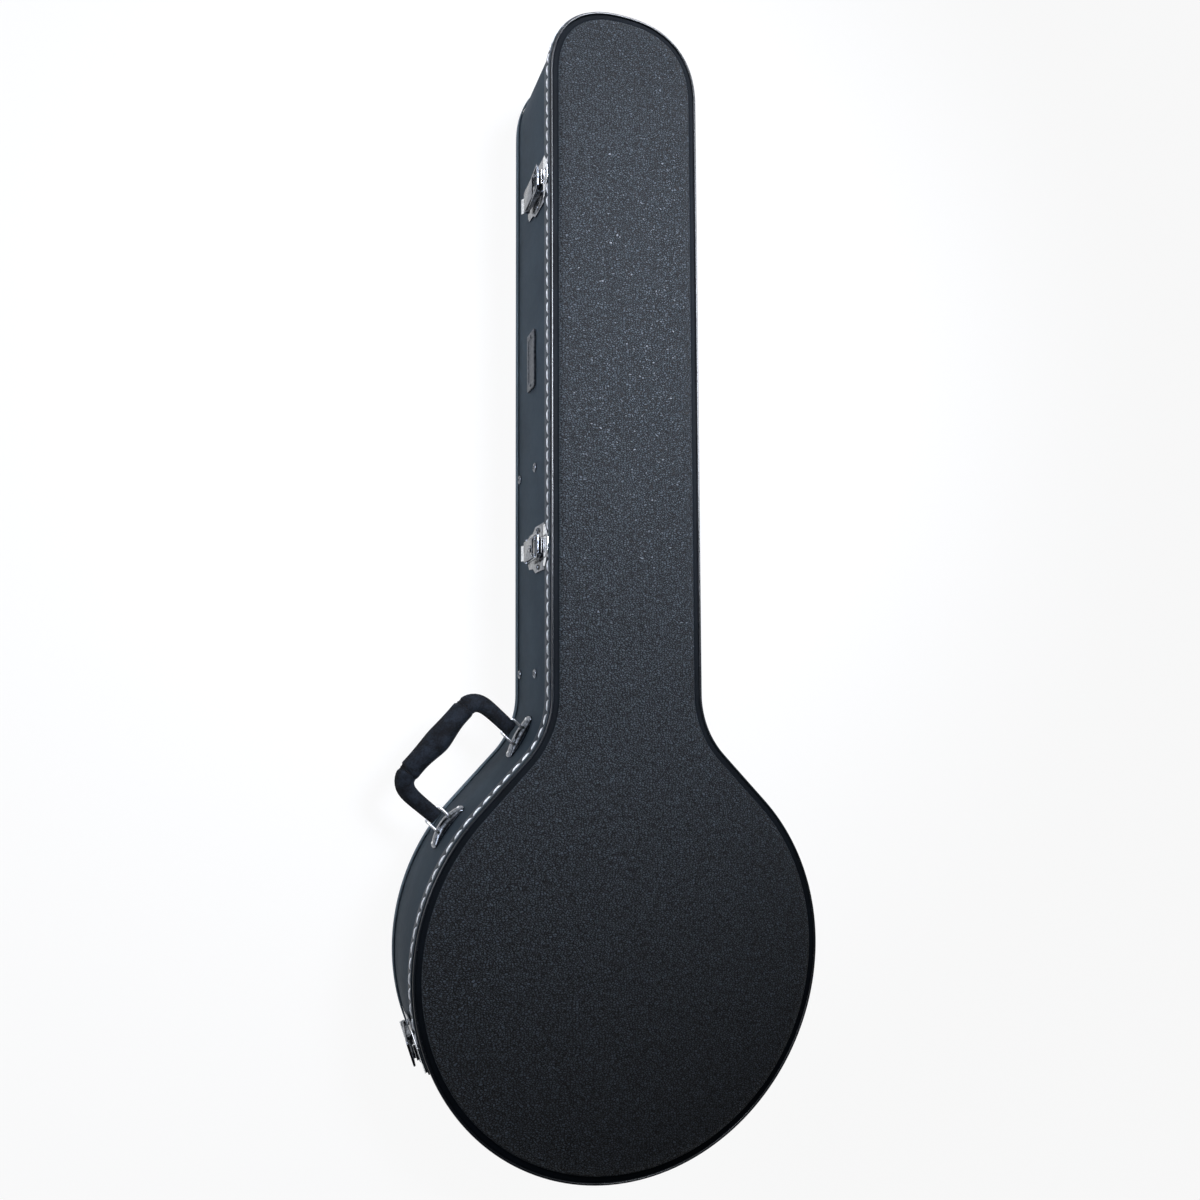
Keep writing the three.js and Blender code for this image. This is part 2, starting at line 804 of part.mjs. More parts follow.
function lockPlug() {
  const face = latch.pivotOut + latch.flangeRadius + lock.proud;
  const back = latch.pivotOut + latch.flangeRadius - latch.thickness - gap;
  const plug = rodAlongX(lock.radius, back, face, 0, -lock.down);
  const slot = box(
    new THREE.Vector3(face - lock.slotDepth, -lock.slotWidth / 2, -lock.down - lock.slotLength / 2),
    new THREE.Vector3(face + overrun, lock.slotWidth / 2, -lock.down + lock.slotLength / 2),
  );
  return cut(plug, slot);
}

for (const { name, matrix } of latchPlaces) {
  const locked = name === 'latch_middle';
  add(`${name}_plate`, latchPlate(), 'chrome', matrix);
  add(`${name}_pivot_pin`, rodAlongY(
    latch.pin,
    -flangeOuter,
    flangeOuter,
    latch.pivotOut,
    -latch.pivotDown,
  ), 'chrome', matrix);
  add(`${name}_lever`, latchLever(locked), 'chrome', matrix);
  add(`${name}_yoke`, latchYoke(), 'chrome', matrix);
  add(`${name}_keeper`, latchKeeper(), 'chrome', matrix);
  [-1, 1].forEach((side, i) => {
    const y = side * latch.rivetY;
    const head = plateFace + gap;
    const pin = rivet(latchRivet.head, latchRivet.shank, head, -latchRivet.bite, y, -latch.rivetDown);
    add(`${name}_rivet_${i + 1}`, pin, 'chrome', matrix);
    drillWall(matrix, y, -latch.rivetDown, latchRivet.shank + gap, boards.wall + overrun);
  });
  if (locked) {
    add('lock_plug', lockPlug(), 'chrome', matrix);
  }
}

// Bare name plate between the upper and middle latches

const namePlate = { y: alongNeck(0.5632), height: 58.2, length: 55.5, width: 22.8, thickness: 2, pinInset: 4.2 };
const namePin = { head: { radius: 1.6, height: 0.8 }, shank: 0.8, bite: 4 };

function makeNamePlate() {
  const halfLong = namePlate.length / 2;
  const halfWide = namePlate.width / 2;
  const plate = box(
    new THREE.Vector3(gap, -halfLong, -halfWide),
    new THREE.Vector3(gap + namePlate.thickness, halfLong, halfWide),
  );
  const holes = [-1, 1].map((side) => rodAlongX(
    namePin.shank + gap,
    0,
    gap + namePlate.thickness + overrun,
    side * (halfLong - namePlate.pinInset),
    0,
  ));
  return cut(plate, ...holes);
}

const namePlace = onNeck(namePlate.y, namePlate.height);
add('name_plate', makeNamePlate(), 'chrome', namePlace);
[-1, 1].forEach((side, i) => {
  const y = side * (namePlate.length / 2 - namePlate.pinInset);
  const head = gap + namePlate.thickness + gap;
  const pin = rivet(namePin.head, namePin.shank, head, -namePin.bite, y, 0);
  add(`name_plate_pin_${i + 1}`, pin, 'chrome', namePlace);
  drillWall(namePlace, y, 0, namePin.shank + gap, namePin.bite + gap);
});

// Carrying handle on the shoulder: two arched plates, two wire loops and a leather grip

const handle = {
  height: 60,
  plateLength: 45,
  archHalf: 8.5,
  archHeight: 6.6,
  archWall: 1.3,
  tunnelHalf: 11.4,
  slotHalf: 7.5,
  slotWidth: 4.8,
  barOut: 3.2,
  wire: 1.1,
  loopHalf: 8.5,
  loopRise: 16.5,
  loopRound: 2.2,
  rivetY: 18.4,
  rivetRise: 2.4,
};
const handleRivet = { head: { radius: 2, height: 1.2 }, shank: 1, bite: 5 };
const shoulderPlateAngle = THREE.MathUtils.degToRad(-29.5);
const bodyPlateAngle = THREE.MathUtils.degToRad(142.7);

// Sections of the arched plate at arc distances from its middle, following a round wall
function archSection(along, half, height, foot, bend) {
  const section = [];
  for (let i = 0; i <= 10; i += 1) {
    const angle = (i / 10) * Math.PI;
    section.push([foot + height * Math.sin(angle), half * Math.cos(angle)]);
  }
  const turn = along / bend;
  return section.map(([out, up]) => new THREE.Vector3(
    (bend + out) * Math.cos(turn) - bend,
    (bend + out) * Math.sin(turn),
    up,
  ));
}

function handlePlate(bend) {
  const half = handle.plateLength / 2;
  const shares = [-1, -0.94, -0.8, -0.7, -0.52, -0.2, 0, 0.2, 0.52, 0.7, 0.8, 0.94, 1];
  const fullness = (share) => {
    const end = Math.abs(share);
    if (end > 0.97) {
      return [0.45, 0.3];
    }
    if (end > 0.9) {
      return [0.8, 0.4];
    }
    if (end > 0.65) {
      return [1, 0.4];
    }
    return [1, 1];
  };
  const shell = skin(shares.map((share) => {
    const [wide, tall] = fullness(share);
    const rise = handle.archHeight * tall;
    return archSection(half * share, handle.archHalf * wide, rise, gap, bend);
  }), false, ['x', 'z']);
  const tunnelShares = [-1, -0.5, 0, 0.5, 1];
  const tunnel = skin(tunnelShares.map((share) => archSection(
    handle.tunnelHalf * share,
    handle.archHalf - handle.archWall,
    handle.archHeight - handle.archWall + gap,
    0,
    bend,
  )), false, ['x', 'z']);
  const slots = [-1, 1].map((side) => box(
    new THREE.Vector3(gap * 2, side * handle.loopHalf - handle.slotWidth / 2, -handle.slotHalf),
    new THREE.Vector3(handle.archHeight + overrun, side * handle.loopHalf + handle.slotWidth / 2, handle.slotHalf),
  ));
  const holes = [-1, 1].map((side) => {
    const turn = (side * handle.rivetY) / bend;
    const hole = rodAlongX(handleRivet.shank + gap, -overrun, handle.archHeight + overrun, 0, 0);
    return hole.translate(bend, 0, 0).rotateZ(turn).translate(-bend, 0, 0);
  });
  return cut(shell, tunnel, ...slots, ...holes);
}

function addHandlePlate(name, matrix, bend) {
  add(`${name}_plate`, handlePlate(bend), 'chrome', matrix);
  [-1, 1].forEach((side, i) => {
    const turn = (side * handle.rivetY) / bend;
    const seat = gap + handle.rivetRise + gap;
    const pin = rivet(handleRivet.head, handleRivet.shank, seat, -handleRivet.bite, 0, 0);
    pin.translate(bend, 0, 0).rotateZ(turn).translate(-bend, 0, 0);
    add(`${name}_plate_rivet_${i + 1}`, pin, 'chrome', matrix);
    const bore = rodAlongX(handleRivet.shank + gap, -boards.wall - overrun, overrun, 0, 0);
    bore.translate(bend, 0, 0).rotateZ(turn).translate(-bend, 0, 0);
    wallHoles.push(bore.applyMatrix4(matrix));
  });
}

const shoulderPlace = onShoulder(shoulderPlateAngle, handle.height);
const bodyPlace = onBody(bodyPlateAngle, handle.height);
addHandlePlate('handle_upper', shoulderPlace, -shoulderFillet);
addHandlePlate('handle_lower', bodyPlace, bodyRadius);

// The handle turns about the line through the middles of the two wire loops
const upperEye = new THREE.Vector3(handle.barOut, 0, 0).applyMatrix4(shoulderPlace);
const lowerEye = new THREE.Vector3(handle.barOut, 0, 0).applyMatrix4(bodyPlace);
const handleSpan = upperEye.distanceTo(lowerEye);
const handleMiddle = new THREE.Vector3().addVectors(upperEye, lowerEye).multiplyScalar(0.5);
const handleRun = new THREE.Vector3().subVectors(upperEye, lowerEye).normalize();
const handleFacing = Math.atan2(handleRun.y, handleRun.x) + Math.PI / 2;
const handlePlace = place(handleMiddle, handleFacing, handle.height);
const toHandle = handlePlace.clone().invert();

// A closed loop of wire lying in one level plane, with rounded corners
function wireLoop(corners, radius) {
  const path = [];
  corners.forEach((corner, i) => {
    const before = corners[(i + corners.length - 1) % corners.length];
    const after = corners[(i + 1) % corners.length];
    const into = new THREE.Vector2().subVectors(before, corner).setLength(handle.loopRound);
    const away = new THREE.Vector2().subVectors(after, corner).setLength(handle.loopRound);
    const curve = new THREE.QuadraticBezierCurve(
      corner.clone().add(into),
      corner,
      corner.clone().add(away),
    );
    path.push(...curve.getPoints(3));
  });
  const rings = path.map((point, i) => {
    const before = path[(i + path.length - 1) % path.length];
    const after = path[(i + 1) % path.length];
    const along = new THREE.Vector2().subVectors(after, before).normalize();
    const ring = [];
    for (let k = 0; k < 8; k += 1) {
      const angle = (k / 8) * Math.PI * 2;
      const side = radius * Math.cos(angle);
      ring.push(new THREE.Vector3(
        point.x - along.y * side,
        point.y + along.x * side,
        radius * Math.sin(angle),
      ));
    }
    return ring;
  });
  return skin(rings, true);
}

function handleLoop(matrix, side) {
  const local = [-1, 1].map((end) => new THREE.Vector3(handle.barOut, end * handle.loopHalf, 0)
    .applyMatrix4(matrix).applyMatrix4(toHandle));
  local.sort((a, b) => side * (b.y - a.y));
  const centre = side * (handleSpan / 2);
  const corners = [
    new THREE.Vector2(local[0].x, local[0].y),
    new THREE.Vector2(handle.loopRise, centre + side * handle.loopHalf),
    new THREE.Vector2(handle.loopRise, centre - side * handle.loopHalf),
    new THREE.Vector2(local[1].x, local[1].y),
  ];
  return wireLoop(corners, handle.wire);
}

add('handle_loop_upper', handleLoop(shoulderPlace, -1), 'chrome', handlePlace);
add('handle_loop_lower', handleLoop(bodyPlace, 1), 'chrome', handlePlace);

const grip = { rise: 57, gripHalf: 12, gripThick: 10.4 };
// Each station: share of the rise, share of the leg spacing, share of the grip's half width and half thickness
const gripShares = [
  [0.168, 0.995, 0.583, 0.34],
  [0.25, 0.995, 0.583, 0.4],
  [0.5, 1, 0.583, 0.44],
  [0.7, 1.003, 0.62, 0.48],
  [0.84, 0.995, 0.68, 0.54],
  [0.935, 0.945, 0.76, 0.6],
  [0.985, 0.84, 0.8, 0.7],
  [1, 0.7, 0.8, 0.84],
  [0.997, 0.48, 0.81, 0.93],
  [0.985, 0.24, 0.93, 0.98],
  [0.975, 0, 1, 1],
];

function handleGrip() {
  const half = gripShares.map(([rise, along, wide, thick]) => ({
    point: new THREE.Vector2(grip.rise * rise, (handleSpan / 2) * along),
    wide: grip.gripHalf * wide,
    thick: grip.gripThick * thick,
  }));
  const other = half.slice(0, -1).reverse().map((station) => ({
    ...station,
    point: new THREE.Vector2(station.point.x, -station.point.y),
  }));
  const stations = half.concat(other);
  const rings = stations.map((station, i) => {
    const before = stations[Math.max(i - 1, 0)].point;
    const after = stations[Math.min(i + 1, stations.length - 1)].point;
    const along = new THREE.Vector2().subVectors(after, before).normalize();
    const ring = [];
    for (let k = 0; k < roundSides; k += 1) {
      const angle = (k / roundSides) * Math.PI * 2;
      const c = Math.cos(angle);
      const s = Math.sin(angle);
      const side = station.wide * Math.sign(c) * Math.abs(c) ** 0.8;
      const up = station.thick * Math.sign(s) * Math.abs(s) ** 0.8;
      ring.push(new THREE.Vector3(
        station.point.x - along.y * side,
        station.point.y + along.x * side,
        up,
      ));
    }
    return ring;
  });
  const body = skin(rings, false, ['y', 'z']);
  const bores = [-1, 1].map((side) => rodAlongY(
    handle.wire + gap,
    side * (handleSpan / 2) - handle.loopHalf - handle.wire,
    side * (handleSpan / 2) + handle.loopHalf + handle.wire,
    handle.loopRise,
    0,
  ));
  return cut(body, ...bores);
}

add('handle_grip', handleGrip(), 'leather', handlePlace);

add('side_wall', cut(hoop([
  [0, boards.backPanel + gap],
  [0, seam],
  [-boards.wall, seam],
  [-boards.wall, boards.backPanel + gap],
]), ...wallHoles), 'sideVinyl');

export default bankOfMeshes;
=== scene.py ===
import math
import bmesh
import bpy
from mathutils import Matrix, Vector


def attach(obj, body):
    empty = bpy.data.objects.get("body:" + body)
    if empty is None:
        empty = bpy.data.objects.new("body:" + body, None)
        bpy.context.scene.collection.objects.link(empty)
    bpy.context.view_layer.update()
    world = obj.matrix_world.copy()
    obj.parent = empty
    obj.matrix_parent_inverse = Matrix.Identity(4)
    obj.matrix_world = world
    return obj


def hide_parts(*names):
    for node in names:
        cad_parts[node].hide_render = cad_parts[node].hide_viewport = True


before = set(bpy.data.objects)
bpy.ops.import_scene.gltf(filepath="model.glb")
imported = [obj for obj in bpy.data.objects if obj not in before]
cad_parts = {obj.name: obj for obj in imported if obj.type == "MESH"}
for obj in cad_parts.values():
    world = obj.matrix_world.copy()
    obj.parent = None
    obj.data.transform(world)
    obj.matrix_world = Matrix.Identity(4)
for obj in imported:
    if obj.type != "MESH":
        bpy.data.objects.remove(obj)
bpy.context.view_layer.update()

# Hard-shell banjo case on its back, lid up, in the CAD frame: +Z through the lid, +Y towards the head
# end, -X the side with the latches. Sizes of the case are in mm, those of the studio in metres.
mm = 0.001

caseShape = {
    "bodyRadius": 192.0,
    "neckHalf": 73.0,
    "length": 1067.0,
    "shoulderFillet": 82.0,
    "shoulderAngle": 43.8,
    "headRoundness": 2.4,
    "seam": 102.0,
    "top": 117.0,
    "bodySteps": 64,
    "shoulderSteps": 18,
    "neckSteps": 6,
    "headSteps": 27,
}


def nodeCentre(nodeName):
    # the middle of one of the solids in the frame, in mm
    places = [vertex.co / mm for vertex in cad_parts[nodeName].data.vertices]
    return Vector([(min(side) + max(side)) / 2 for side in zip(*places)])


# Selecting and editing

def pick(*pieces):
    active = bpy.context.view_layer.objects.active
    if active and active.mode != "OBJECT":
        bpy.ops.object.mode_set(mode="OBJECT")
    bpy.ops.object.select_all(action="DESELECT")
    for piece in pieces:
        piece.select_set(True)
    if pieces:
        bpy.context.view_layer.objects.active = pieces[-1]


def startEdit(piece, kind="FACE"):
    pick(piece)
    bpy.ops.object.mode_set(mode="EDIT")
    bpy.ops.mesh.select_mode(type=kind)
    bpy.ops.mesh.select_all(action="DESELECT")


def choose(piece, kind, test):
    mesh = bmesh.from_edit_mesh(piece.data)
    for part in getattr(mesh, kind):
        part.select_set(test(part))
    bmesh.update_edit_mesh(piece.data)


def endEdit():
    bpy.ops.object.mode_set(mode="OBJECT")


def extrudeUp(height):
    bpy.ops.mesh.extrude_region_move(TRANSFORM_OT_translate={"value": (0, 0, height * mm)})


def turnFacesOut():
    bpy.ops.mesh.select_all(action="SELECT")
    bpy.ops.mesh.normals_make_consistent(inside=False)


def applyModifier(piece, kind, **settings):
    pick(piece)
    modifier = piece.modifiers.new(kind.lower(), kind)
    for name, value in settings.items():
        setattr(modifier, name, value)
    bpy.ops.object.modifier_apply(modifier=modifier.name)


def faceOutwards(piece):
    startEdit(piece)
    turnFacesOut()
    endEdit()


def bevelEdges(piece, width, segments=3, angle=35.0):
    applyModifier(
        piece, "BEVEL", width=width * mm, segments=segments, limit_method="ANGLE",
        angle_limit=math.radians(angle), harden_normals=False, use_clamp_overlap=True,
    )


def shadeSmooth(piece, angle=38.0):
    pick(piece)
    bpy.ops.object.shade_smooth_by_angle(angle=math.radians(angle))


def bakePlace(piece, matrix=None):
    if matrix is not None:
        piece.matrix_world = matrix @ piece.matrix_world
    pick(piece)
    bpy.ops.object.transform_apply(location=True, rotation=True, scale=True)


def joinPieces(name, pieces):
    pick(*pieces)
    if len(pieces) > 1:
        bpy.ops.object.join()
    piece = bpy.context.view_layer.objects.active
    piece.name = name
    return piece


def copyOf(piece, name):
    pick(piece)
    bpy.ops.object.duplicate(linked=False)
    twin = bpy.context.view_layer.objects.active
    twin.name = name
    return twin


def dress(piece, body, material, slotName, *nodes):
    piece.data.materials.clear()
    piece.data.materials.append(material)
    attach(piece, body)
    if nodes:
        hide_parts(*nodes)
    return piece


# Outline of the case, the same curve as in the solids but with finer steps

def shoulderCentre():
    # centre of the arc of the hollow shoulder
    shape = caseShape
    turn = math.radians(shape["shoulderAngle"])
    reach = shape["bodyRadius"] + shape["shoulderFillet"]
    centreX = shape["neckHalf"] + shape["shoulderFillet"]
    run = (reach * math.cos(turn) - centreX) / math.sin(turn)
    return centreX, reach * math.sin(turn) + run * math.cos(turn)


def outlineSide(offset):
    shape = caseShape
    radius = shape["bodyRadius"] + offset
    half = shape["neckHalf"] + offset
    fillet = shape["shoulderFillet"] - offset
    turn = math.radians(shape["shoulderAngle"])
    centreX, centreY = shoulderCentre()
    headBase = shape["length"] - shape["bodyRadius"] - shape["neckHalf"]
    points = []
    for i in range(shape["bodySteps"] + 1):
        angle = -math.pi / 2 + (turn + math.pi / 2) * i / shape["bodySteps"]
        points.append((radius * math.cos(angle), radius * math.sin(angle)))
    for i in range(shape["shoulderSteps"] + 1):
        angle = turn * (1 - i / shape["shoulderSteps"])
        points.append((centreX - fillet * math.cos(angle), centreY - fillet * math.sin(angle)))
    for i in range(1, shape["neckSteps"]):
        points.append((half, centreY + (headBase - centreY) * i / shape["neckSteps"]))
    power = 2 / shape["headRoundness"]
    for i in range(shape["headSteps"] + 1):
        angle = math.pi / 2 * i / shape["headSteps"]
        across = 0.0 if i == shape["headSteps"] else math.cos(angle) ** power
        points.append((half * across, headBase + half * math.sin(angle) ** power))
    points[0] = (0.0, -radius)
    return points


def caseOutline(offset):
    side = outlineSide(offset)
    return side + [(-x, y) for x, y in reversed(side[1:-1])]


def ringBlank(name, places, filled=False):
    # a closed ring through the places, in metres, as edges only or with one face
    pick()
    bpy.ops.mesh.primitive_circle_add(
        vertices=len(places), radius=caseShape["bodyRadius"] * mm,
        fill_type="NGON" if filled else "NOTHING",
    )
    blank = bpy.context.object
    blank.name = name
    for vertex, place in zip(blank.data.vertices, places):
        vertex.co = place
    return blank


def outlineBlank(name, offset, height, filled=True):
    places = [(x * mm, y * mm, height * mm) for x, y in caseOutline(offset)]
    return ringBlank(name, places, filled)


def raiseBlank(blank, height):
    startEdit(blank, "EDGE")
    bpy.ops.mesh.select_all(action="SELECT")
    extrudeUp(height)
    turnFacesOut()
    endEdit()


def outlineHoop(name, offset, low, high, thickness, edge):
    hoop = outlineBlank(name, offset, low, filled=False)
    raiseBlank(hoop, high - low)
    applyModifier(hoop, "SOLIDIFY", thickness=thickness * mm, offset=-1.0, use_even_offset=True)
    bevelEdges(hoop, edge)
    return hoop


def crownedPanel(name, offset, height, profile, down):
    # profile is a row of (step inwards, step up) in mm from the edge of the panel
    panel = outlineBlank(name, offset, height)
    startEdit(panel)
    turnFacesOut()
    mesh = bmesh.from_edit_mesh(panel.data)
    mesh.faces.ensure_lookup_table()
    if mesh.faces[0].normal.z < 0:
        bpy.ops.mesh.flip_normals()
    bpy.ops.mesh.select_all(action="SELECT")
    extrudeUp(down)
    for inwards, up in profile:
        bpy.ops.mesh.inset(thickness=inwards * mm, depth=up * mm, use_even_offset=True)
    turnFacesOut()
    endEdit()
    return panel


def wallPlace(x, y, facing, height):
    # local x points out of the case, local y runs along the wall and z is up
    return Matrix.Translation((x * mm, y * mm, height * mm)) @ Matrix.Rotation(facing, 4, "Z")


def neckPlace(y, height):
    return wallPlace(-caseShape["neckHalf"], y, math.pi, height)


def bodyPlace(degrees, height):
    angle = math.radians(degrees)
    radius = caseShape["bodyRadius"]
    return wallPlace(radius * math.cos(angle), radius * math.sin(angle), angle, height)


# Materials

def colourOf(text, alpha=1.0):
    levels = [int(text[i:i + 2], 16) / 255 for i in (1, 3, 5)]
    return [c / 12.92 if c <= 0.04045 else ((c + 0.055) / 1.055) ** 2.4 for c in levels] + [alpha]


def feed(material, socket, value):
    # links another node's output to the socket, or gives the socket a fixed value
    if isinstance(value, bpy.types.NodeSocket):
        material.node_tree.links.new(value, socket)
    else:
        socket.default_value = value


def addNode(material, kind, output, inputs=None, stops=(), **settings):
    # adds a node with its settings and links, and gives back one of its outputs
    node = material.node_tree.nodes.new("ShaderNode" + kind)
    for name, value in settings.items():
        setattr(node, name, value)
    for i, (position, colour) in enumerate(stops):
        node.color_ramp.elements[i].position = position
        node.color_ramp.elements[i].color = colourOf(colour)
    for name, value in (inputs or {}).items():
        feed(material, node.inputs[name], value)
    return node.outputs[output]


def newMaterial(name):
    material = bpy.data.materials.new(name)
    material.use_nodes = True
    place = addNode(material, "TexCoord", "Object")
    return material, place


shaderSockets = {
    "colour": "Base Color", "roughness": "Roughness", "metallic": "Metallic", "normal": "Normal",
    "sheen": "Sheen Weight", "sheenRoughness": "Sheen Roughness", "specular": "Specular IOR Level",
}


def finishMaterial(material, **inputs):
    shader = material.node_tree.nodes["Principled BSDF"]
    for name, value in inputs.items():
        feed(material, shader.inputs[shaderSockets[name]], value)
    return material


def workSurface(material, place, patterns, normal=None):
    # the patterns of a finish, each with the width of one patch in mm and the share of its finer
    # detail; those that have a depth in mm are pressed into the surface, one over another
    tones = {}
    for name, pattern in patterns.items():
        vector = place
        if "stretch" in pattern:
            vector = addNode(material, "Mapping", "Vector", {"Vector": place, "Scale": pattern["stretch"]})
        tones[name] = addNode(material, "TexNoise", "Fac", {
            "Vector": vector, "Scale": 1 / (pattern["width"] * mm), "Detail": pattern["detail"],
            "Roughness": pattern["fineness"],
        })
        if "depth" in pattern:
            relief = {
                "Height": tones[name], "Distance": pattern["depth"] * mm, "Strength": pattern["strength"],
            }
            if normal is not None:
                relief["Normal"] = normal
            normal = addNode(material, "Bump", "Normal", relief)
    return tones, normal


grainedVinylLook = {
    # crease and top: painted shade near black in the creases, painted highlight on the pebble tops; the
    # third tone is a painted highlight along the crest of the roll
    "crease": "#010102", "top": "#464f57", "stretched": "#4c565f", "toneStart": 0.2, "toneEnd": 0.78,
    "roughness": 0.38, "creaseRoughness": 0.73, "specular": 0.36,
    "drifts": ((7.0, 4.5), (1.7, 1.1)),
    "pebble": 2.1, "pebbleStretch": (0.8, 1.3, 1.0), "creaseEnd": 0.015, "moundEnd": 0.3,
    "wrinkle": 2.6, "wrinkleStart": 0.36, "wrinkleEnd": 0.6, "wrinkleFloor": 0.2,
    "wrinkleFineness": 0.7, "wrinkleTwist": 0.8,
    # the fold heights and share place the painted highlight along the crest of the roll
    "smoothBelow": 118.6, "grainAbove": 119.4, "foldBelow": 120.4, "foldHighlightShare": 0.35,
    # the smooth band's flat height is kept low so that the tone ramp paints it dark: painted shade
    "backBelow": 8.0, "backEnd": 9.0, "smoothHeightAndShade": 0.16,
    "foam": {"waves": {"width": 60.0, "detail": 2.0, "fineness": 0.55, "depth": 1.0, "strength": 1.0}},
    "grainDepth": 1.3,
    "vinyl": {"skin": {"width": 0.9, "detail": 3.0, "fineness": 0.55, "depth": 0.04, "strength": 0.5}},
}


def makeGrainedVinyl():
    # Embossed PVC leathercloth over foam: rounded pebbles, with the creases between them painted dark as
    # shade.
    # A real pebble is 1.5 mm wide, drawn 2.6 by 1.6 mm here so that it shows at this distance.
    # Where the cloth is pulled over the edge of the lid it is stretched smooth.
    look = grainedVinylLook
    material, place = newMaterial("embossedVinylLeathercloth")
    bent = place
    for width, reach in look["drifts"]:
        drift = addNode(material, "TexNoise", "Color", {
            "Vector": place, "Scale": 1 / (width * mm), "Detail": 1.0,
        })
        push = addNode(material, "VectorMath", "Vector", {0: drift, "Scale": reach * mm}, operation="SCALE")
        bent = addNode(material, "VectorMath", "Vector", {0: bent, 1: push}, operation="ADD")
    bent = addNode(material, "Mapping", "Vector", {"Vector": bent, "Scale": look["pebbleStretch"]})
    pebbles = addNode(material, "TexVoronoi", "Distance", {
        "Vector": bent, "Scale": 1 / (look["pebble"] * mm), "Randomness": 1.0,
    }, voronoi_dimensions="2D", feature="DISTANCE_TO_EDGE")
    mound = addNode(material, "MapRange", "Result", {
        "Value": pebbles, "From Min": look["creaseEnd"], "From Max": look["moundEnd"],
    }, interpolation_type="SMOOTHSTEP")
    wrinkles = addNode(material, "TexNoise", "Fac", {
        "Vector": bent, "Scale": 1 / (look["wrinkle"] * mm), "Detail": 3.0,
        "Roughness": look["wrinkleFineness"], "Distortion": look["wrinkleTwist"],
    })
    wrinkle = addNode(material, "MapRange", "Result", {
        "Value": wrinkles, "From Min": look["wrinkleStart"], "From Max": look["wrinkleEnd"],
        "To Min": look["wrinkleFloor"],
    })
    height = addNode(material, "Math", 0, {0: mound, 1: wrinkle}, operation="MULTIPLY")
    # the stretched band at the edge of the lid, told from its height above the floor
    level = addNode(material, "SeparateXYZ", "Z", {"Vector": place})
    onTop = addNode(material, "MapRange", "Result", {
        "Value": level, "From Min": look["smoothBelow"] * mm, "From Max": look["grainAbove"] * mm,
    })
    underneath = addNode(material, "MapRange", "Result", {
        "Value": level, "From Min": look["backBelow"] * mm, "From Max": look["backEnd"] * mm,
        "To Min": 1.0, "To Max": 0.0,
    })
    grained = addNode(material, "Math", 0, {0: onTop, 1: underneath}, operation="MAXIMUM")
    # the smooth band takes that low height, which also paints it near black through the tone ramp: painted
    # shade
    height = addNode(material, "Mix", "Result", {
        "Factor": grained, "A": look["smoothHeightAndShade"], "B": height,
    }, data_type="FLOAT")
    # soft waves of the foam, then the grain, then the fine skin of the vinyl
    normal = workSurface(material, place, look["foam"])[1]
    normal = addNode(material, "Bump", "Normal", {
        "Height": height, "Distance": look["grainDepth"] * mm, "Strength": 1.0, "Normal": normal,
    })
    normal = workSurface(material, place, look["vinyl"], normal)[1]
    # tone by height: painted shade in the creases, painted highlight on the pebble tops
    colour = addNode(material, "ValToRGB", "Color", {"Fac": height}, stops=(
        (look["toneStart"], look["crease"]), (look["toneEnd"], look["top"]),
    ))
    # the first millimetre of grain, at the crest of the roll, is painted paler: a painted highlight where
    # the fold catches the light
    fold = addNode(material, "MapRange", "Result", {
        "Value": level, "From Min": look["grainAbove"] * mm, "From Max": look["foldBelow"] * mm,
        "To Min": look["foldHighlightShare"], "To Max": 0.0,
    })
    fold = addNode(material, "Math", 0, {0: fold, 1: onTop}, operation="MULTIPLY")
    colour = addNode(material, "Mix", "Result", {
        "Factor": fold, "A": colour, "B": colourOf(look["stretched"]),
    }, data_type="RGBA")
    roughness = addNode(material, "MapRange", "Result", {
        "Value": height, "To Min": look["creaseRoughness"], "To Max": look["roughness"],
    })
    return finishMaterial(
        material, colour=colour, roughness=roughness, normal=normal, specular=look["specular"]
    )


smoothVinylLook = {
    "patterns": {
        "waves": {"width": 45.0, "detail": 3.0, "fineness": 0.55, "depth": 0.5, "strength": 1.0},
        "skin": {"width": 0.8, "detail": 3.0, "fineness": 0.55, "depth": 0.05, "strength": 0.7},
        "handling": {"width": 6.0, "detail": 5.0, "fineness": 0.7},
    },
    "toneStart": 0.3, "toneEnd": 0.75, "polish": 0.08, "wear": 0.1,
}


def makeSmoothVinyl(name, dark, light, roughness, shine):
    # Calendered PVC cloth glued round plywood: nearly smooth, with a faint skin and a soft waviness.
    look = smoothVinylLook
    material, place = newMaterial(name)
    tones, normal = workSurface(material, place, look["patterns"])
    colour = addNode(material, "ValToRGB", "Color", {"Fac": tones["waves"]}, stops=(
        (look["toneStart"], dark), (look["toneEnd"], light),
    ))
    worn = addNode(material, "MapRange", "Result", {
        "Value": tones["handling"], "To Min": roughness - look["polish"], "To Max": roughness + look["wear"],
    })
    return finishMaterial(material, colour=colour, roughness=worn, normal=normal, specular=shine)


chromeLook = {
    "patterns": {
        "waves": {"width": 3.0, "detail": 1.0, "fineness": 0.55, "depth": 0.03, "strength": 1.0},
        "rubbing": {
            "width": 0.25, "detail": 2.0, "fineness": 0.55, "depth": 0.004, "strength": 0.5,
            "stretch": (1.0, 0.08, 1.0),
        },
        "smudge": {"width": 2.6, "detail": 5.0, "fineness": 0.7},
    },
    "toneStart": 0.36, "toneEnd": 0.6, "wear": 0.14,
}


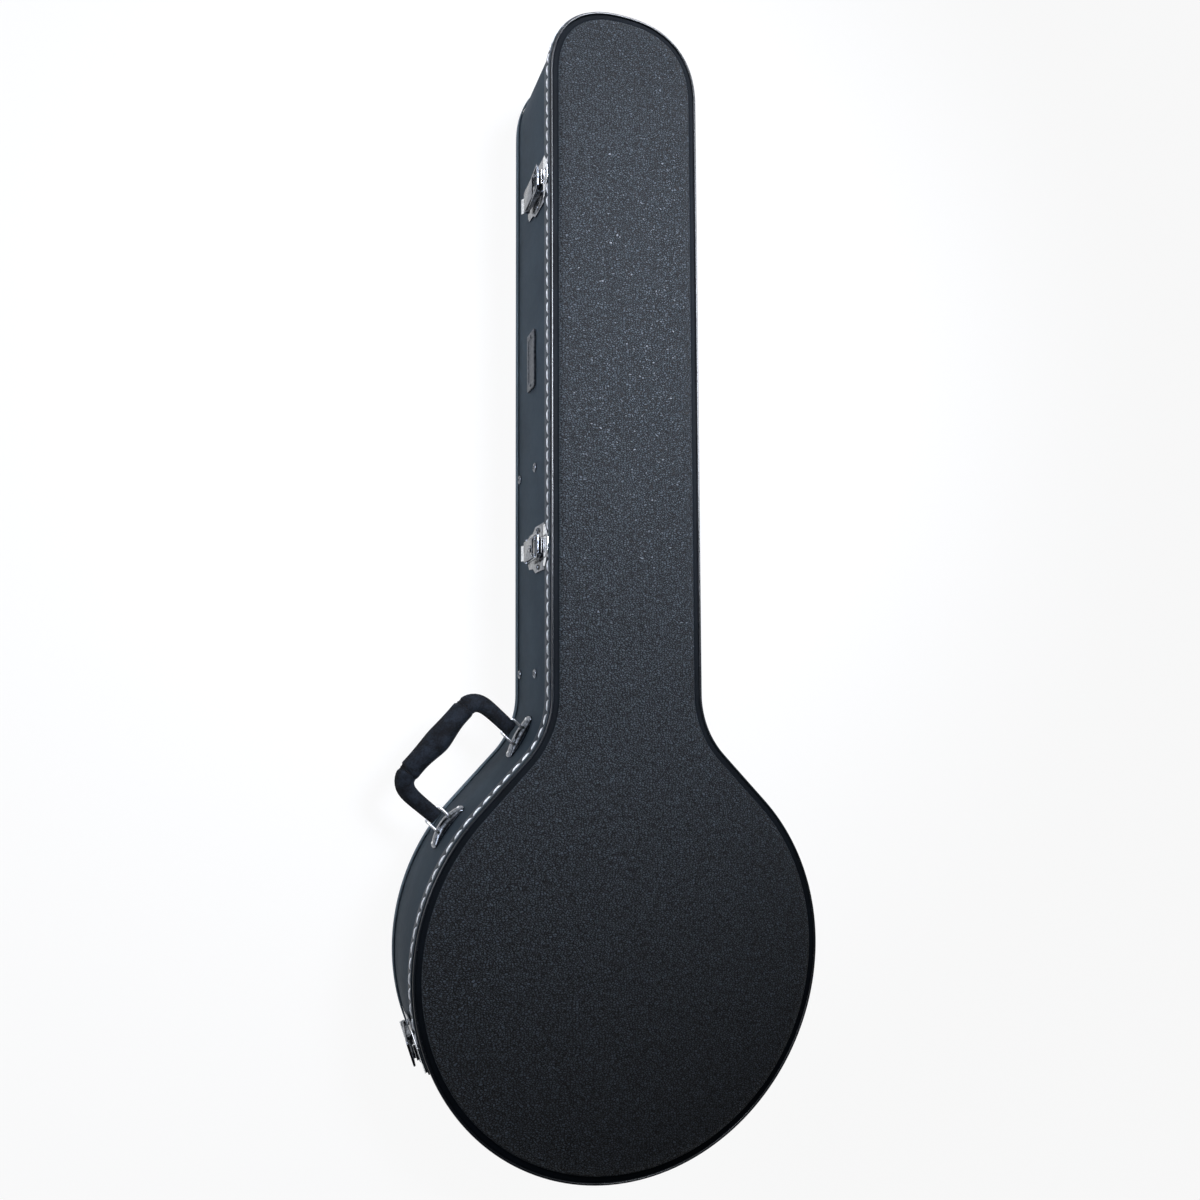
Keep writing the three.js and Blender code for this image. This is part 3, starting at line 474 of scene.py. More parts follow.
def makeChrome(name, dark, light, roughness):
    # Nickel and chrome plated pressed steel: mirror bright, with fine rubbing marks from use.
    look = chromeLook
    material, place = newMaterial(name)
    tones, normal = workSurface(material, place, look["patterns"])
    colour = addNode(material, "ValToRGB", "Color", {"Fac": tones["smudge"]}, stops=(
        (look["toneStart"], dark), (look["toneEnd"], light),
    ))
    worn = addNode(material, "MapRange", "Result", {
        "Value": tones["smudge"], "To Min": roughness, "To Max": roughness + look["wear"],
    })
    return finishMaterial(material, colour=colour, roughness=worn, normal=normal, metallic=1.0)


handleLeatherLook = {
    "dark": "#04060a", "light": "#1a2028", "toneStart": 0.43, "toneEnd": 0.6,
    "patterns": {
        "rubbed": {"width": 11.0, "detail": 4.0, "fineness": 0.6, "depth": 0.9, "strength": 1.0},
        "nap": {"width": 1.8, "detail": 5.0, "fineness": 0.75, "depth": 0.3, "strength": 1.0},
    },
    "smooth": 0.62, "rough": 0.85, "sheen": 0.03, "sheenRoughness": 0.5, "specular": 0.12,
}


def makeHandleLeather():
    # Sueded leathercloth of the grip: matt nap with rubbed lighter patches.
    look = handleLeatherLook
    material, place = newMaterial("suededHandleLeathercloth")
    tones, normal = workSurface(material, place, look["patterns"])
    tone = addNode(material, "Math", 0, {0: tones["rubbed"], 1: tones["nap"]}, operation="ADD")
    tone = addNode(material, "Math", 0, {0: tone, 1: 0.5}, operation="MULTIPLY")
    colour = addNode(material, "ValToRGB", "Color", {"Fac": tone}, stops=(
        (look["toneStart"], look["dark"]), (look["toneEnd"], look["light"]),
    ))
    worn = addNode(material, "MapRange", "Result", {
        "Value": tones["nap"], "To Min": look["smooth"], "To Max": look["rough"],
    })
    return finishMaterial(
        material, colour=colour, roughness=worn, normal=normal, specular=look["specular"],
        sheen=look["sheen"], sheenRoughness=look["sheenRoughness"],
    )


threadLook = {"ply": 9.0, "twist": 1.5, "depth": 0.12, "strength": 0.6, "roughness": 0.55, "specular": 0.15}


def makeThread(name, dark, light):
    # Bonded polyester thread: two plies, so the tone alternates along each stitch. The real twist
    # is too fine for the render and is drawn coarser here.
    look = threadLook
    material, place = newMaterial(name)
    plies = addNode(material, "TexWave", "Fac", {
        "Vector": place, "Scale": 1 / (look["ply"] * mm), "Distortion": look["twist"], "Detail": 1.0,
    }, bands_direction="DIAGONAL")
    colour = addNode(material, "ValToRGB", "Color", {"Fac": plies}, stops=((0.0, dark), (1.0, light)))
    normal = addNode(material, "Bump", "Normal", {
        "Height": plies, "Distance": look["depth"] * mm, "Strength": look["strength"],
    })
    return finishMaterial(
        material, colour=colour, normal=normal, roughness=look["roughness"], specular=look["specular"]
    )


plushLook = {
    "dark": "#17181d", "light": "#34363e", "toneStart": 0.35, "toneEnd": 0.68,
    "patterns": {
        "lay": {"width": 28.0, "detail": 4.0, "fineness": 0.6, "depth": 0.8, "strength": 1.0},
        "pile": {"width": 0.9, "detail": 3.0, "fineness": 0.7, "depth": 0.35, "strength": 1.0},
    },
    "roughness": 0.92, "sheen": 0.6, "sheenRoughness": 0.35,
}


def makePlush():
    # Short-pile plush lining: the pile leans in patches, which changes its tone.
    look = plushLook
    material, place = newMaterial("shortPilePlush")
    tones, normal = workSurface(material, place, look["patterns"])
    tone = addNode(material, "Math", 0, {0: tones["lay"], 1: tones["pile"]}, operation="ADD")
    tone = addNode(material, "Math", 0, {0: tone, 1: 0.5}, operation="MULTIPLY")
    colour = addNode(material, "ValToRGB", "Color", {"Fac": tone}, stops=(
        (look["toneStart"], look["dark"]), (look["toneEnd"], look["light"]),
    ))
    return finishMaterial(
        material, colour=colour, normal=normal, roughness=look["roughness"],
        sheen=look["sheen"], sheenRoughness=look["sheenRoughness"],
    )


print("materials")
grainedVinyl = makeGrainedVinyl()
sideVinyl = makeSmoothVinyl(
    "calenderedVinylOnPlywood", dark="#2f383f", light="#374148", roughness=0.7, shine=0.08
)
lidVinyl = makeSmoothVinyl("calenderedVinylOnLid", dark="#1d2228", light="#272d34", roughness=0.5, shine=0.3)
trimVinyl = makeSmoothVinyl("foldedVinylTrim", dark="#222a31", light="#2c353d", roughness=0.5, shine=0.25)
pipingVinyl = makeSmoothVinyl(
    "foldedVinylPiping", dark="#101317", light="#191d22", roughness=0.24, shine=0.6
)
# near black: painted shade of the groove and band at the edge of the lid pad
grooveShadeVinyl = makeSmoothVinyl(
    "pulledVinylPaintedShade", dark="#080b0f", light="#0d1217", roughness=0.65, shine=0.06
)
# paler than the side wall: painted light that lifts the shade the welt lies in beside the floor
weltVinylPaintedLight = makeSmoothVinyl("rolledVinylWeltPaintedLight", dark="#56626a", light="#626f77", roughness=0.7, shine=0.1)
chrome = makeChrome("nickelPlatedPressedSteel", dark="#363a41", light="#82878f", roughness=0.16)
# a paler copy of the chrome: painted highlight on the keepers, springs and lever lips
highlightChrome = makeChrome("chromedSteelPaintedHighlight", dark="#b9bdc2", light="#eceef0", roughness=0.12)
wireChrome = makeChrome("chromedSteelWire", dark="#d8dbde", light="#ffffff", roughness=0.34)
brushedPlate = makeChrome("brushedNamePlateSteel", dark="#43474c", light="#6b6f75", roughness=0.5)
# darker than the chrome: painted shade for the pivot pins in the gap between the ears
pinSteelInShade = makeChrome("pivotSteelPaintedShade", dark="#34383c", light="#575c61", roughness=0.3)
handleLeather = makeHandleLeather()
whiteThread = makeThread("bondedWhiteThread", dark="#dcdee0", light="#ffffff")
blackThread = makeThread("bondedBlackThread", dark="#020203", light="#0a0b0d")
plush = makePlush()


# Back of the case

print("base")
wallShape = {"foot": 5.3, "thickness": 6.0, "edge": 0.9}
weltShape = {"out": 1.8, "low": 1.2, "high": 9.0, "thickness": 1.5, "edge": 0.65}
backShape = {"thickness": 5.0, "edge": 1.4}


def makeSideWall():
    shape = wallShape
    wall = outlineHoop(
        "coveredSideWall", 0.0, shape["foot"], caseShape["seam"], shape["thickness"], shape["edge"]
    )
    shadeSmooth(wall)
    dress(wall, "base", sideVinyl, "vinyl_side", "side_wall")


def makeBackWelt():
    shape = weltShape
    welt = outlineHoop(
        "backEdgeBead", shape["out"], shape["low"], shape["high"], shape["thickness"], shape["edge"]
    )
    shadeSmooth(welt, angle=60)
    dress(welt, "base", weltVinylPaintedLight, "vinyl_trim", "back_edge_welt")


def makeBackPanel():
    panel = outlineBlank("coveredBackPanel", 0.0, 0.0)
    raiseBlank(panel, backShape["thickness"])
    bevelEdges(panel, backShape["edge"], segments=4)
    shadeSmooth(panel)
    dress(panel, "base", grainedVinyl, "vinyl_grained", "back_panel")


# Linings: plush over thin foam, so every edge is round

liningShape = {
    "inset": 6.3, "thickness": 4.0, "round": 1.3,
    "floor": (5.3, 8.3), "wall": (8.6, 100.0), "lid": (109.7, 112.7),
}


def makeLinings():
    shape = liningShape
    for side, body in (("floor", "base"), ("wall", "base"), ("lid", "lid")):
        low, high = shape[side]
        name = f"plush{side.title()}"
        if side == "wall":
            lining = outlineHoop(name, -shape["inset"], low, high, shape["thickness"], shape["round"])
        else:
            lining = outlineBlank(name, -shape["inset"], low)
            raiseBlank(lining, high - low)
            bevelEdges(lining, shape["round"])
        shadeSmooth(lining)
        dress(lining, body, plush, "plush", f"{side}_lining")


makeSideWall()
makeBackWelt()
makeBackPanel()
makeLinings()


# Lid

print("lid")
lidShape = {"foot": 102.3, "wall": 6.0, "ceiling": 112.7, "edge": 0.9}
paddingShape = {
    "edge": -2.3, "foot": 117.3, "side": 0.9, "pulledBelow": 118.6,
    "band": [(0.25, 0.1), (0.6, 0.05), (1.7, 0.0), (1.9, 0.05)],
    "roll": [(0.35, 0.35), (0.55, 0.85), (0.7, 0.85), (0.9, 0.65), (1.3, 0.45), (2.0, 0.35), (3.6, 0.25)],
    "spread": [(9.0, 0.28), (11.0, 0.16), (12.0, 0.06)],
}
pipingShape = {"inset": -0.9, "height": 118.5, "radius": 1.2}


def makeLidShell():
    shell = outlineBlank("coveredLidShell", 0.0, lidShape["foot"])
    raiseBlank(shell, caseShape["top"] - lidShape["foot"])
    startEdit(shell)
    choose(shell, "faces", lambda face: face.normal.z < -0.9)
    bpy.ops.mesh.inset(thickness=lidShape["wall"] * mm, use_even_offset=True)
    extrudeUp(lidShape["ceiling"] - lidShape["foot"])
    turnFacesOut()
    endEdit()
    bevelEdges(shell, lidShape["edge"])
    shadeSmooth(shell)
    dress(shell, "lid", lidVinyl, "vinyl_lid", "lid_rim", "lid_panel")


def makeLidPadding():
    padding = crownedPanel(
        "paddedLidTop", paddingShape["edge"], paddingShape["foot"],
        paddingShape["band"] + paddingShape["roll"] + paddingShape["spread"], paddingShape["side"],
    )
    shadeSmooth(padding, angle=60)
    dress(padding, "lid", grainedVinyl, "vinyl_grained", "lid_cover")
    # the cloth pulled over the side of the pad is stretched smooth and dull, and painted near black as the
    # shade of the groove
    padding.data.materials.append(grooveShadeVinyl)
    for face in padding.data.polygons:
        if face.center.z / mm < paddingShape["pulledBelow"]:
            face.material_index = 1


def makeTube(name, path, radius, sides=3):
    # path is a mesh of edges only; the tube keeps its line
    pick(path)
    bpy.ops.object.convert(target="CURVE")
    tube = bpy.context.view_layer.objects.active
    tube.data.dimensions = "3D"
    tube.data.bevel_depth = radius * mm
    tube.data.bevel_resolution = sides
    bpy.ops.object.convert(target="MESH")
    tube = bpy.context.view_layer.objects.active
    tube.name = name
    faceOutwards(tube)
    shadeSmooth(tube, angle=60)
    return tube


def makeLidPiping():
    line = outlineBlank("pipingLine", pipingShape["inset"], pipingShape["height"], filled=False)
    piping = makeTube("pipingBead", line, pipingShape["radius"])
    dress(piping, "lid", pipingVinyl, "vinyl_trim", "lid_piping")


makeLidShell()
makeLidPadding()
makeLidPiping()


# Valance: a folded strip along the latch side of the lid, sewn with thick white thread

valanceShape = {
    "foot": 102.3, "back": 0.3, "thickness": 1.2, "startStep": 9, "endStep": 32,
    "stitchHeight": 112.6, "channel": 0.35, "channelHalf": 0.8, "round": 0.45, "roundAngle": 50,
    "hem": 0.5, "rowsAtStitch": (-1.2, -0.2, 0.5, 1.2, 2.2), "rowsAtTop": (-0.4, 0.1),
}
stitchShape = {
    "pitch": 12.4, "margin": 7.0, "length": 10.6, "radius": 0.95, "arch": 0.32, "slant": 3.0,
    "slimShare": 0.5, "dipShare": 3.4,
}


def valanceRun():
    # the stretch of the outline that carries the valance, from the head's hinge side round to the body
    shape = caseShape
    start = shape["bodySteps"] + 1 + shape["shoulderSteps"] + 1 + shape["neckSteps"] - 1
    return start + valanceShape["startStep"], len(caseOutline(0.0)) - valanceShape["endStep"]


def openStretch(name, offset, height):
    # an open line along the valance, as edges only
    line = outlineBlank(name, offset, height, filled=False)
    first, last = valanceRun()
    startEdit(line, "VERT")
    choose(line, "verts", lambda vertex: not first <= vertex.index <= last)
    bpy.ops.mesh.delete(type="VERT")
    endEdit()
    return line


def makeValance():
    shape = valanceShape
    band = openStretch("foldedValance", shape["back"] + shape["thickness"], shape["foot"])
    rows = [shape["foot"], shape["foot"] + shape["hem"]]
    rows += [shape["stitchHeight"] + row for row in shape["rowsAtStitch"]]
    rows += [caseShape["top"] + row for row in shape["rowsAtTop"]]
    startEdit(band, "EDGE")
    bpy.ops.mesh.select_all(action="SELECT")
    for below, above in zip(rows[:-1], rows[1:]):
        extrudeUp(above - below)
    turnFacesOut()
    endEdit()
    # press the channel where the stitches lie
    startEdit(band, "VERT")
    low = (shape["stitchHeight"] - shape["channelHalf"]) * mm
    high = (shape["stitchHeight"] + shape["channelHalf"]) * mm
    choose(band, "verts", lambda vertex: low < vertex.co.z < high)
    bpy.ops.transform.shrink_fatten(value=-shape["channel"] * mm)
    endEdit()
    applyModifier(band, "SOLIDIFY", thickness=shape["thickness"] * mm, offset=-1.0, use_even_offset=True)
    bevelEdges(band, shape["round"], angle=shape["roundAngle"])
    shadeSmooth(band, shape["roundAngle"])
    dress(band, "lid", trimVinyl, "vinyl_trim", "stitched_valance")


def alongOutline(points, spacing, margin):
    # evenly spaced places along an open line, each with the direction of the line
    lengths = [0.0]
    for a, b in zip(points[:-1], points[1:]):
        lengths.append(lengths[-1] + math.hypot(b[0] - a[0], b[1] - a[1]))
    places = []
    reach = margin
    i = 0
    while reach <= lengths[-1] - margin:
        while lengths[i + 1] < reach:
            i += 1
        share = (reach - lengths[i]) / (lengths[i + 1] - lengths[i])
        a, b = points[i], points[i + 1]
        x = a[0] + (b[0] - a[0]) * share
        y = a[1] + (b[1] - a[1]) * share
        places.append((x, y, math.atan2(b[1] - a[1], b[0] - a[0])))
        reach += spacing
    return places


def makeStitch(name, length, radius, arch, material, sides=6, steps=6):
    # one stitch along local x: it rises by arch in its middle and dips into the cloth at its ends
    pick()
    bpy.ops.mesh.primitive_cylinder_add(
        vertices=sides, radius=radius * mm, depth=length * mm, rotation=(0, math.pi / 2, 0)
    )
    stitch = bpy.context.object
    stitch.name = name
    bakePlace(stitch)
    for i in range(1, steps):
        startEdit(stitch)
        bpy.ops.mesh.select_all(action="SELECT")
        cut = length * (i / steps - 0.5) * mm
        bpy.ops.mesh.bisect(plane_co=(cut, 0, 0), plane_no=(1, 0, 0))
        endEdit()
    for vertex in stitch.data.vertices:
        share = abs(vertex.co.x) / (length / 2 * mm)
        slim = 1 - stitchShape["slimShare"] * share ** 4
        vertex.co.y *= slim
        vertex.co.z = vertex.co.z * slim + arch * (1 - stitchShape["dipShare"] * share ** 4) * mm
    shadeSmooth(stitch, angle=60)
    stitch.data.materials.append(material)
    return stitch


def makeValanceStitching():
    first, last = valanceRun()
    line = caseOutline(valanceShape["back"] + valanceShape["thickness"])[first:last + 1]
    shape = stitchShape
    stitch = makeStitch("stitchMaster", shape["length"], shape["radius"], shape["arch"], whiteThread)
    stitches = []
    for x, y, angle in alongOutline(line, shape["pitch"], shape["margin"]):
        twin = copyOf(stitch, "stitch")
        place = Matrix.Translation((x * mm, y * mm, valanceShape["stitchHeight"] * mm))
        # local z of the stitch points out of the wall, which lies to the right of the run
        place = place @ Matrix.Rotation(angle, 4, "Z") @ Matrix.Rotation(math.pi / 2, 4, "X")
        place = place @ Matrix.Rotation(math.radians(shape["slant"]), 4, "Z")
        twin.data.transform(place)
        stitches.append(twin)
    bpy.data.objects.remove(stitch)
    sewing = joinPieces("valanceStitching", stitches)
    dress(sewing, "lid", whiteThread, "vinyl_trim")


makeValance()
makeValanceStitching()


# Shapes shared by the fittings

def softenedCopy(nodeName, name, width, segments=3):
    # the same solid with its edges rounded as pressed or cast metal has them
    twin = copyOf(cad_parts[nodeName], name)
    twin.parent = None
    twin.matrix_world = Matrix.Identity(4)
    startEdit(twin, "VERT")
    bpy.ops.mesh.select_all(action="SELECT")
    bpy.ops.mesh.remove_doubles(threshold=0.002 * mm)
    bpy.ops.mesh.dissolve_limited(angle_limit=math.radians(1.0))
    endEdit()
    bevelEdges(twin, width, segments, angle=30)
    shadeSmooth(twin, angle=40)
    return twin


def softenedPiece(nodeName, name, width, body, material, slotName, segments=3):
    twin = softenedCopy(nodeName, name, width, segments)
    return dress(twin, body, material, slotName, nodeName)


domeShape = {
    # steps from the rim to the middle: share of the radius inwards, share of the rise upwards
    "steps": ((0.1, 0.34), (0.16, 0.28), (0.22, 0.2), (0.26, 0.13), (0.18, 0.05)),
    "flatShare": 0.35,
}


def domeHead(name, radius, height, flatShare=domeShape["flatShare"], sides=28):
    # a domed head standing on x = 0 and facing +x
    pick()
    flat = height * flatShare
    bpy.ops.mesh.primitive_cylinder_add(vertices=sides, radius=radius * mm, depth=flat * mm)
    head = bpy.context.object
    head.name = name
    head.data.transform(Matrix.Translation((0, 0, flat * mm / 2)))
    startEdit(head)
    choose(head, "faces", lambda face: face.normal.z > 0.9)
    for across, up in domeShape["steps"]:
        bpy.ops.mesh.inset(thickness=radius * across * mm, depth=(height - flat) * up * mm)
    endEdit()
    head.data.transform(Matrix.Rotation(math.pi / 2, 4, "Y"))
    shadeSmooth(head, angle=50)
    return head


def boxPiece(name, low, high):
    pick()
    centre = [(a + b) / 2 * mm for a, b in zip(low, high)]
    bpy.ops.mesh.primitive_cube_add(size=1, location=centre)
    piece = bpy.context.object
    piece.name = name
    piece.scale = [(b - a) * mm for a, b in zip(low, high)]
    bakePlace(piece)
    return piece


def cutAway(piece, tool):
    applyModifier(piece, "BOOLEAN", operation="DIFFERENCE", object=tool, solver="EXACT")
    bpy.data.objects.remove(tool)


def rodPiece(name, radius, start, end, sides=24):
    # a rod along local y, through x and z of its start point
    pick()
    length = end[1] - start[1]
    bpy.ops.mesh.primitive_cylinder_add(
        vertices=sides, radius=radius * mm, depth=length * mm, rotation=(math.pi / 2, 0, 0),
        location=(start[0] * mm, (start[1] + end[1]) / 2 * mm, start[2] * mm),
    )
    rod = bpy.context.object
    rod.name = name
    bakePlace(rod)
    return rod


# Cradle boards, compartment and their screws

print("compartment and screws")
compartmentShape = {"round": 1.2, "tabRound": 0.35, "rodRound": 0.3}
screwShape = {
    "radius": 4.3, "height": 2.2, "flatShare": 0.3, "stand": 0.3, "edge": 0.12,
    "crossLength": 4.6, "crossWidth": 1.15, "crossDepth": 1.3, "overrun": 1.0,
    "shankRadius": 1.5, "shankLength": 20.0, "shankOverlap": 0.1,
    "turns": (25.0, -12.0, 48.0, 8.0),
}


def makeCompartment():
    shape = compartmentShape
    for side in ("lower", "upper"):
        name = f"cradle_board_{side}"
        board = softenedPiece(
            name, f"plushCradle{side.title()}", shape["round"], "base", plush, "plush", segments=2
        )
    cover = "compartment_cover"
    lid = softenedPiece("compartment_lid", "plushCompartmentLid", shape["round"], cover, plush, "plush")
    softenedPiece(
        "compartment_pull_tab", "compartmentPullTab", shape["tabRound"], cover,
        handleLeather, "handle_leather",
    )
    softenedPiece(
        "compartment_hinge_rod", "compartmentHingeRod", shape["rodRound"], "base", chrome, "chrome"
    )


def makeScrews():
    shape = screwShape
    head = domeHead("screwHead", shape["radius"], shape["height"], shape["flatShare"], sides=36)
    half = shape["crossLength"] / 2
    wide = shape["crossWidth"] / 2
    deep = shape["height"] - shape["crossDepth"]
    clear = shape["height"] + shape["overrun"]
    for y, z in ((half, wide), (wide, half)):
        cutAway(head, boxPiece("crossCutter", (deep, -y, -z), (clear, y, z)))
    bevelEdges(head, shape["edge"], segments=2, angle=40)
    shadeSmooth(head, angle=35)
    shank = rodPiece(
        "screwShank", shape["shankRadius"], (0, -shape["shankLength"], 0), (0, shape["shankOverlap"], 0),
        sides=16,
    )
    shank.data.transform(Matrix.Rotation(-math.pi / 2, 4, "Z"))
    master = joinPieces("screwMaster", [shank, head])
    for i, turn in enumerate(shape["turns"]):
        spot = nodeCentre(f"cradle_screw_{i + 1}")
        twin = copyOf(master, f"crossRecessScrew{i + 1}")
        stand = Matrix.Translation((shape["stand"] * mm, 0, 0))
        stand = stand @ Matrix.Rotation(math.radians(turn), 4, "X")
        twin.data.transform(neckPlace(spot.y, spot.z) @ stand)
        dress(twin, "base", chrome, "chrome", f"cradle_screw_{i + 1}")
    bpy.data.objects.remove(master)


makeCompartment()
makeScrews()


# Bare name plate: a pressed plate with a raised border, held by two pins

print("name plate")
namePlateShape = {
    "length": 55.5, "width": 22.8, "thickness": 2.0, "stand": 0.3, "corner": 1.2, "edge": 0.25,
    "fieldLong": 21.4, "fieldWide": 7.6, "press": 0.7, "overrun": 1.0,
    "pinInset": 4.2, "pinRadius": 1.6, "pinHeight": 0.8,
}


def roundedBox(name, low, high, radius):
    # a box with the four edges along local x rounded
    piece = boxPiece(name, low, high)
    startEdit(piece, "EDGE")
    choose(piece, "edges", lambda edge: abs(edge.verts[0].co.x - edge.verts[1].co.x) > 0.2 * mm)
    bpy.ops.mesh.bevel(offset=radius * mm, segments=5, affect="EDGES")
    endEdit()
    return piece


def makeNamePlate():
    shape = namePlateShape
    centre = nodeCentre("name_plate")
    place = neckPlace(centre.y, centre.z)
    halfLong = shape["length"] / 2
    halfWide = shape["width"] / 2
    face = shape["stand"] + shape["thickness"]
    plate = roundedBox(
        "bareNamePlate", (shape["stand"], -halfLong, -halfWide), (face, halfLong, halfWide), shape["corner"]
    )
    long, wide = shape["fieldLong"], shape["fieldWide"]
    field = roundedBox(
        "fieldCutter", (face - shape["press"], -long, -wide), (face + shape["overrun"], long, wide),
        shape["corner"],
    )
    cutAway(plate, field)
    bevelEdges(plate, shape["edge"], segments=2, angle=30)
    shadeSmooth(plate, angle=35)
    plate.data.transform(place)
    dress(plate, "base", brushedPlate, "chrome", "name_plate")
    for i, side in enumerate((-1, 1)):
        pin = domeHead(f"namePlateDome{i + 1}", shape["pinRadius"], shape["pinHeight"])
        stand = face + shape["stand"]
        spot = Matrix.Translation((stand * mm, side * (halfLong - shape["pinInset"]) * mm, 0))
        pin.data.transform(place @ spot)
        dress(pin, "base", chrome, "chrome", f"name_plate_pin_{i + 1}")


makeNamePlate()


# Draw latches: stepped plate with two ears, coil spring, lever, yoke and keeper

print("latches")
latchShape = {
    "places": {
        "upper": neckPlace(nodeCentre("latch_upper_plate").y, caseShape["seam"]),
        "middle": neckPlace(nodeCentre("latch_middle_plate").y, caseShape["seam"]),
        "lower": bodyPlace(198.0, caseShape["seam"]),
    },
    "pivotOut": 5.4, "pivotDown": 13.0, "overrun": 5.0,
    "coilRadius": 2.45, "coilWire": 0.6, "coilTurns": 5, "coilPitch": 1.22, "coilStart": -5.6,
    "window": ((-0.5, -0.5, -21.0), (1.7, 5.8, -2.4)),
    "lipBelow": -52.6, "lipEnd": -58.0, "lipLift": 2.2, "lipOut": 1.25, "brightBelow": -52.0,
    "yokeInner": 10.0, "yokeOuter": 11.6, "yokeTop": 3.6, "yokeBar": 2.4, "yokeThick": 1.7,
    "yokeRound": 3.8, "yokeOut": 8.5, "yokeDown": 43.0, "hollowFoot": -60.0, "yokeEdge": 0.4,
    "eyeRadius": 2.2, "stubRadius": 1.1, "stubInner": 8.3,
    "rivetY": 17.2, "rivetDown": 21.0, "rivetRadius": 2.6, "rivetHeight": 1.4, "rivetStand": 1.8,
    "rivetEdge": 0.15, "holeRadius": 1.1, "holeFoot": 0.3,
    "plateEdge": 0.35, "leverEdge": 0.4, "keeperEdge": 0.5, "pinEdge": 0.3, "plugEdge": 0.25,
}


def makeCoil(name):
    # a coil spring along local y, made by turning a small circle with a screw modifier
    shape = latchShape
    pick()
    bpy.ops.mesh.primitive_circle_add(
        vertices=8, radius=shape["coilWire"] * mm, location=(0, shape["coilRadius"] * mm, 0),
        rotation=(0, math.pi / 2, 0),
    )
    coil = bpy.context.object
    coil.name = name
    bakePlace(coil)
    applyModifier(
        coil, "SCREW", axis="X", screw_offset=shape["coilPitch"] * mm, iterations=shape["coilTurns"],
        steps=20, render_steps=20, use_merge_vertices=True,
    )
    startEdit(coil, "EDGE")
    bpy.ops.mesh.select_all(action="SELECT")
    bpy.ops.mesh.remove_doubles(threshold=0.01 * mm)
    bpy.ops.mesh.select_all(action="DESELECT")
    choose(coil, "edges", lambda edge: edge.is_boundary)
    bpy.ops.mesh.edge_face_add()
    endEdit()
    faceOutwards(coil)
    start = Matrix.Translation((shape["coilStart"] * mm, 0, 0))
    coil.data.transform(Matrix.Rotation(math.pi / 2, 4, "Z") @ start)
    shadeSmooth(coil, angle=60)
    return coil


def makeYoke():
    # a flat pressed bail: two legs with eyes and a cross bar with rounded corners, leaning outwards
    shape = latchShape
    outer, inner = shape["yokeOuter"], shape["yokeInner"]
    thick, clear = shape["yokeThick"] / 2, shape["overrun"]
    bail = boxPiece("latchBail", (-thick, -outer, -shape["yokeDown"]), (thick, outer, shape["yokeTop"]))
    ceiling = shape["yokeTop"] - shape["yokeBar"]
    hollow = boxPiece("bailHollow", (-clear, -inner, shape["hollowFoot"]), (clear, inner, ceiling))
    for piece, radius in ((bail, shape["yokeRound"]), (hollow, shape["yokeRound"] - outer + inner)):
        top = max(vertex.co.z for vertex in piece.data.vertices) - 0.01 * mm
        startEdit(piece, "EDGE")
        choose(piece, "edges", lambda edge: all(vertex.co.z > top for vertex in edge.verts)
               and abs(edge.verts[0].co.y - edge.verts[1].co.y) < 0.01 * mm)
        bpy.ops.mesh.bevel(offset=radius * mm, segments=8, affect="EDGES")
        endEdit()
    cutAway(bail, hollow)
    bevelEdges(bail, shape["yokeEdge"], segments=2, angle=40)
    lean = math.atan2(shape["yokeOut"] - shape["pivotOut"], shape["yokeDown"])
    bail.data.transform(Matrix.Translation((shape["yokeOut"] * mm, 0, 0)) @ Matrix.Rotation(lean, 4, "Y"))
    parts = [bail]
    for side in (-1, 1):
        eye = ("bailEye", shape["eyeRadius"], inner, outer)
        stub = ("bailStub", shape["stubRadius"], shape["stubInner"], inner)
        for name, radius, near, far in (eye, stub):
            low, high = sorted((side * near, side * far))
            start = (shape["pivotOut"], low, -shape["yokeDown"])
            parts.insert(0, rodPiece(name, radius, start, (0, high, 0)))
    yoke = joinPieces("latchBail", parts)
    shadeSmooth(yoke, angle=40)
    return yoke


def makeTubularRivet():
    # a domed head with the open end of the tube in its middle
    shape = latchShape
    rivet = domeHead("rivetMaster", shape["rivetRadius"], shape["rivetHeight"])
    hole = rodPiece(
        "rivetHole", shape["holeRadius"], (0, shape["holeFoot"], 0), (0, shape["overrun"], 0), sides=20
    )
    hole.data.transform(Matrix.Rotation(-math.pi / 2, 4, "Z"))
    cutAway(rivet, hole)
    bevelEdges(rivet, shape["rivetEdge"], segments=2, angle=50)
    shadeSmooth(rivet, angle=40)
    return rivet


def curlLip(lever, place):
    # the finger lip at the lower end of the lever curls outwards
    shape = latchShape
    back = place.inverted()
    for vertex in lever.data.vertices:
        spot = back @ vertex.co
        curl = (shape["lipBelow"] - spot.z / mm) / (shape["lipBelow"] - shape["lipEnd"])
        if curl > 0:
            spot.x += curl * shape["lipOut"] * mm
            spot.z += curl * shape["lipLift"] * mm
            vertex.co = place @ spot
    # the lower faces of the lip take the paler chrome: painted highlight
    lever.data.materials.append(highlightChrome)
    for face in lever.data.polygons:
        if (back @ face.center).z / mm < shape["brightBelow"]:
            face.material_index = 1


